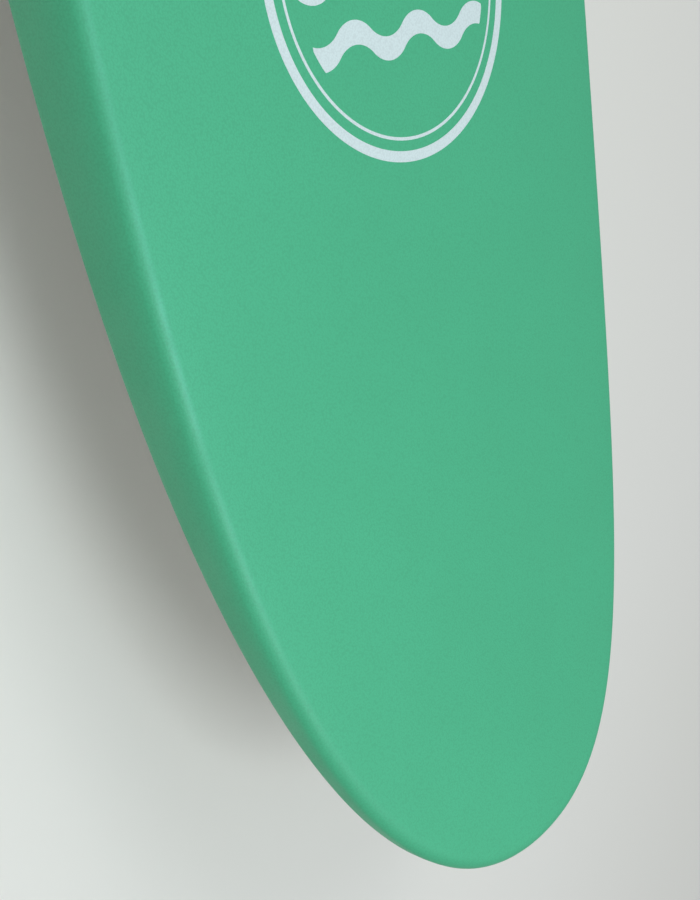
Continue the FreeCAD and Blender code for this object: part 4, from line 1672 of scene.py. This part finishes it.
@dataclass
class SideFinSet(FinFitting):
    """A small side fin on two tabs, held by grub screws in two plugs."""

    shape: BoardShape
    finishes: Finishes
    side: Side
    setback: float = 360.0 * MILLI
    inset: float = 54.0 * MILLI
    cant: float = 4.0
    toe: float = 2.5
    tab_length: float = 19.0 * MILLI
    tab_thickness: float = 5.2 * MILLI
    tab_depth: float = 10.0 * MILLI
    tab_root: float = 1.0 * MILLI
    tab_spacing: float = 54.0 * MILLI
    plug_length: float = 32.0 * MILLI
    plug_width: float = 22.0 * MILLI
    plug_height: float = 13.5 * MILLI
    plug_sides: int = 64
    grub_radius: float = 2.5 * MILLI
    grub_length: float = 7.0 * MILLI
    grub_angle: float = 35.0
    grub_socket: float = 1.25 * MILLI
    grub_gap: float = 0.6 * MILLI
    grub_level: float = 0.55
    grub_bevel: float = 0.35
    clearance: float = 0.2 * MILLI
    grub_clearance: float = 0.05 * MILLI
    grub_crests: int = 8
    thread_depth: float = 0.3 * MILLI
    thread_ease: float = 0.4 * MILLI
    tip_share: float = 0.6
    socket_share: float = 1 / 3
    socket_sides: int = 6
    grub_sharp: float = 30.0
    edge_round: float = 0.5 * MILLI
    round_steps: int = 3
    foil: Foil = Foil(base=96.0 * MILLI, rake=62.0 * MILLI, tip_chord=26.0 * MILLI, depth=98.0 * MILLI,
                      thickness=6.0 * MILLI, top=-0.3 * MILLI, around=22, down=34)

    @property
    def place(self) -> Matrix:
        """The fin's frame on the bottom, turned to its toe-in.

        Returns:
            The frame, +Z into the board.
        """
        x = -self.shape.length / 2 + self.setback
        y = self.side.value * (self.shape.half_width_at(x) - self.inset)
        toe_in = Matrix.Rotation(math.radians(-self.side.value * self.toe), 4, "Z")
        return self.shape.on_bottom(self.setback, y) @ toe_in

    @property
    def lean(self) -> Matrix:
        """The fin's cant."""
        return Matrix.Rotation(math.radians(self.side.value * self.cant), 4, "X")

    @property
    def stations(self) -> tuple[float, float]:
        """Where the front and the back tab stand."""
        return (self.tab_spacing / 2, -self.tab_spacing / 2)

    @property
    def grub_frame(self) -> Matrix:
        """Frame of a grub screw, its socket end at the origin and +Z towards the tab.

        Returns:
            The frame.
        """
        turn = Matrix.Rotation(math.radians(self.side.value * self.grub_angle), 4, "X")
        axis = turn @ Vector((0, 0, 1))
        face = self.side.value * (self.tab_thickness / 2 + self.clearance + self.grub_gap)
        end = Vector((0, face, self.tab_depth * self.grub_level))
        run = self.grub_length + 2 * self.grub_radius * self.grub_bevel
        return Matrix.Translation(end - axis * run) @ turn

    def seats(self) -> list[bmesh.types.BMesh]:
        """The plugs' holes in the bottom."""
        size = (self.plug_length, self.plug_width, self.plug_height)
        return [self.seat(size, station, self.plug_sides) for station in self.stations]

    def fin(self) -> bpy.types.Object:
        """The foiled fin, flat on its inner side, with its two tabs.

        Returns:
            The fin, in its place.
        """
        foil = replace(self.foil, flat_side=-self.side.value)
        fin = piece(f"side_fin_{self.side.label}_moulding", foil.blade(), self.finishes.fin)
        fin.data.transform(self.lean)
        height = self.tab_depth + self.tab_root
        for station in self.stations:
            tab = block((self.tab_length, self.tab_thickness, height), (0, 0, height / 2 - self.tab_root),
                        self.lean)
            bmesh.ops.translate(tab, vec=(station, 0, 0), verts=tab.verts)
            carve(fin, [tab], Joinery.JOIN)
        fin.data.transform(self.place)
        return fin

    def plug(self, label: str, station: float) -> bpy.types.Object:
        """Moulded plug with its tab slot and grub bore.

        Args:
            label: Which plug it is, front or back.
            station: Where its tab stands.

        Returns:
            The plug.
        """
        shell = stadium(self.plug_length, self.plug_width, self.plug_height, self.plug_sides)
        plug = piece(f"side_plug_{self.side.label}_{label}", shell, self.finishes.box)
        soften(plug, self.edge_round, self.round_steps)
        gap = 2 * self.clearance
        slot = block((self.tab_length + gap, self.tab_thickness + gap, 2 * (self.tab_depth + self.clearance)),
                     (0, 0, 0), self.lean)
        carve(plug, [slot])
        bore = post(self.grub_radius + self.grub_clearance, -self.grub_length, 2 * self.grub_length,
                    BORE_SIDES, self.grub_frame)
        carve(plug, [bore])
        plug.data.transform(self.place @ Matrix.Translation((station, 0, 0)))
        return plug

    def grub(self, label: str, station: float) -> bpy.types.Object:
        """Grub screw with its thread and hexagon socket.

        Args:
            label: Which tab it holds, front or back.
            station: Where that tab stands.

        Returns:
            The screw.
        """
        root = self.grub_radius - self.thread_depth
        pitch = (self.grub_length - 2 * self.thread_ease) / self.grub_crests
        profile = [(0.0, 0.0), (root, 0.0)]
        profile += thread(self.grub_radius, root, self.thread_ease, pitch, self.grub_crests)
        profile += [(root * self.tip_share, self.grub_length), (0.0, self.grub_length)]
        grub = piece(f"grub_screw_{self.side.label}_{label}", lathe(profile, BORE_SIDES),
                     self.finishes.steel, self.grub_sharp)
        carve(grub, [post(self.grub_socket, -self.grub_length, self.grub_length * self.socket_share,
                          self.socket_sides)])
        grub.data.transform(self.place @ Matrix.Translation((station, 0, 0)) @ self.grub_frame)
        return grub

    def build(self) -> None:
        """Make the fin, its plugs and its grub screws."""
        side = self.side.label
        self.settle(self.fin(), Body.BOARD, Slot.FIN_PLASTIC, "side_fin_" + side)
        for label, station in zip(("front", "back"), self.stations):
            plugs = ["side_plugs_" + side] if label == "front" else []
            grubs = ["grub_screws_" + side] if label == "front" else []
            self.settle(self.plug(label, station), Body.BOARD, Slot.BOX_PLASTIC, *plugs)
            self.settle(self.grub(label, station), Body.BOARD, Slot.FASTENER_STEEL, *grubs)


@dataclass
class FrameNodes(Assembly):
    """The frame's own nodes: core, stringers, liner, blocks and pin show, and the rest are hidden."""

    nodes: dict[str, bpy.types.Object]
    finishes: Finishes

    def build(self) -> None:
        """Dress every node in the finish of the longest entry that its name starts with."""
        finish = self.finishes
        dressed = {
            "core_": finish.bead_core, "stringer_": finish.plywood, "bottom_liner": finish.liner,
            "fin_box_block": finish.dense_foam, "plug_block_": finish.dense_foam,
            "leash_block": finish.dense_foam, "fin_pin": finish.steel, "fin_plate": finish.brass,
            "fin_screw": finish.steel, "grub_screws_": finish.steel, "leash_bar": finish.steel,
            "leash_cup": finish.cup, "centre_fin": finish.fin, "side_fin_": finish.fin,
            "side_plugs_": finish.box, "fin_box": finish.box, "emblem_": finish.print_film,
            "slick_bottom": finish.slick, "deck_skin": finish.deck,
        }
        for name, node in self.nodes.items():
            key = max((start for start in dressed if name.startswith(start)), key=len)
            if not node.material_slots:
                node.data.materials.append(dressed[key])
            for holder in node.material_slots:
                holder.material = dressed[key]
            LOG.info("%s: dressed in %s", name, dressed[key].name)


# ------------------------------------------------------------------------------------------
# Studio
# ------------------------------------------------------------------------------------------
@dataclass(frozen=True)
class SoftLight:
    """A large square lamp that faces a point."""

    name: str
    place: tuple[float, float, float]
    target: tuple[float, float, float]
    size: float
    watts: float
    colour: tuple[float, float, float] = (1.0, 1.0, 1.0)
    gloss_only: bool = False

    def hang(self) -> None:
        """Hang the lamp."""
        lamp = bpy.data.lights.new(self.name, "AREA")
        lamp.shape = "SQUARE"
        lamp.size = self.size
        lamp.energy = self.watts
        lamp.color = self.colour
        thing = bpy.data.objects.new(self.name, lamp)
        thing.location = self.place
        thing.rotation_mode = "QUATERNION"
        thing.rotation_quaternion = (Vector(self.target) - Vector(self.place)).to_track_quat("-Z", "Y")
        thing.visible_diffuse = not self.gloss_only
        bpy.context.scene.collection.objects.link(thing)


@dataclass
class Studio:
    """Pale floor, soft lamps, pale surroundings and the camera."""

    shape: BoardShape
    floor_reach: float = 14.0
    floor_gap: float = 4.0 * MILLI
    floor_rough: float = 0.8
    floor_patches: float = 1.2
    floor_cells: int = 4
    aim_from_nose: float = 0.40175
    aim_y: float = -0.11636
    aim_z: float = 0.088
    distance: float = 0.970
    azimuth: float = 64.203
    elevation: float = -40.769
    roll: float = 99.548
    lens: float = 51.59
    sensor: float = 36.0
    room_colour: Colour = (0.93, 0.965, 1.0, 1.0)
    room_at_horizon: float = 0.12
    room_overhead: float = 0.70
    room_seen: float = 0.62

    def lay_floor(self) -> None:
        """Lay a plain pale floor just under the fins."""
        recipe = Recipe("pale_floor")
        patches = recipe.remap(recipe.noise(self.floor_patches, detail=3.0), MOST)
        recipe.set(Base_Color=recipe.mix(patches, srgb(235, 232, 224), srgb(238, 235, 229)),
                   Roughness=self.floor_rough)
        bm = bmesh.new()
        bmesh.ops.create_grid(bm, x_segments=self.floor_cells, y_segments=self.floor_cells,
                              size=self.floor_reach)
        level = CAD_BOUNDS[0].z - self.floor_gap
        bmesh.ops.translate(bm, vec=(0, 0, level), verts=bm.verts)
        piece("studio_floor", bm, recipe.material)

    def hang_lamps(self) -> None:
        """Hang the lamps."""
        for lamp in (SoftLight("key_lamp", (1.45, -0.55, 1.85), (1.1, -0.15, 0.0), 0.7, 14.0,
                               (0.88, 0.97, 1.0)),
                     SoftLight("sheen_lamp", (-0.3, -0.15, 2.2), (0.3, -0.1, 0.0), 0.9, 8.0,
                               (0.86, 0.95, 1.0)),
                     SoftLight("glint_lamp", (1.1, -0.33, 2.0), (0.7, -0.25, 0.1), 0.4, 17.0,
                               (0.2, 0.85, 1.0), gloss_only=True),
                     SoftLight("tail_lamp", (-1.9, 0.2, 2.6), (-1.2, 0.0, 0.0), 1.5, 18.0)):
            lamp.hang()

    def paint_room(self) -> None:
        """Surround the board with a pale room, darker at the horizon and even behind the floor."""
        world = bpy.data.worlds.new("pale_room")
        world.use_nodes = True
        nodes = Nodes(world.node_tree)
        direction = nodes.add("TexCoord").outputs["Generated"]
        climb = nodes.remap(nodes.add("SeparateXYZ", Vector=direction).outputs["Z"], FULL,
                            (self.room_at_horizon, self.room_overhead))
        seen = nodes.add("Mix", Factor=nodes.add("LightPath").outputs["Is Camera Ray"], A=climb,
                         B=self.room_seen)
        background = nodes.tree.nodes["Background"]
        nodes.fill(background.inputs["Color"], self.room_colour)
        nodes.fill(background.inputs["Strength"], seen.outputs["Result"])
        bpy.context.scene.world = world

    def set_camera(self) -> None:
        """Set the camera over the starboard rail, looking down the nose of the board."""
        turn, tilt = math.radians(self.azimuth), math.radians(self.elevation)
        forward = Vector((math.cos(tilt) * math.cos(turn), math.cos(tilt) * math.sin(turn), math.sin(tilt)))
        aim = Vector((self.shape.length / 2 - self.aim_from_nose, self.aim_y, self.aim_z))
        camera = bpy.data.cameras.new("main_camera")
        camera.sensor_width = self.sensor
        camera.lens = self.lens
        thing = bpy.data.objects.new("main_camera", camera)
        thing.location = aim - forward * self.distance
        upright = forward.to_track_quat("-Z", "Y").to_matrix().to_4x4()
        thing.rotation_mode = "QUATERNION"
        roll = Matrix.Rotation(math.radians(self.roll), 4, "Z")
        thing.rotation_quaternion = (upright @ roll).to_quaternion()
        bpy.context.scene.collection.objects.link(thing)
        bpy.context.scene.camera = thing

    def build(self) -> None:
        """Set up everything round the board."""
        bpy.context.scene.view_settings.view_transform = "Standard"
        self.lay_floor()
        self.hang_lamps()
        self.paint_room()
        self.set_camera()


def main() -> None:
    """Build the board's looks round the frame."""
    logging.basicConfig(level=logging.INFO, format="%(name)s: %(message)s")
    finishes = Finishes.mixed()
    low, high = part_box("deck_skin")
    shape = BoardShape(length=high.x - low.x, width=BOARD_WIDTH)
    centre = CentreFinSet(shape, finishes)
    sides = [SideFinSet(shape, finishes, side) for side in Side]
    plug = LeashPlug(shape, finishes.cup, finishes.steel)
    assemblies = [
        FrameNodes(frame["nodes"], finishes),
        FoamSkin(shape, finishes.deck, plug),
        SlickPanel(shape, finishes.slick, [centre, *sides]),
        Roundel(shape, finishes.print_film),
        plug,
        centre,
        *sides,
        Studio(shape),
    ]
    for assembly in assemblies:
        LOG.info("building %s", type(assembly).__name__)
        assembly.build()


if __name__ == "__main__":
    main()
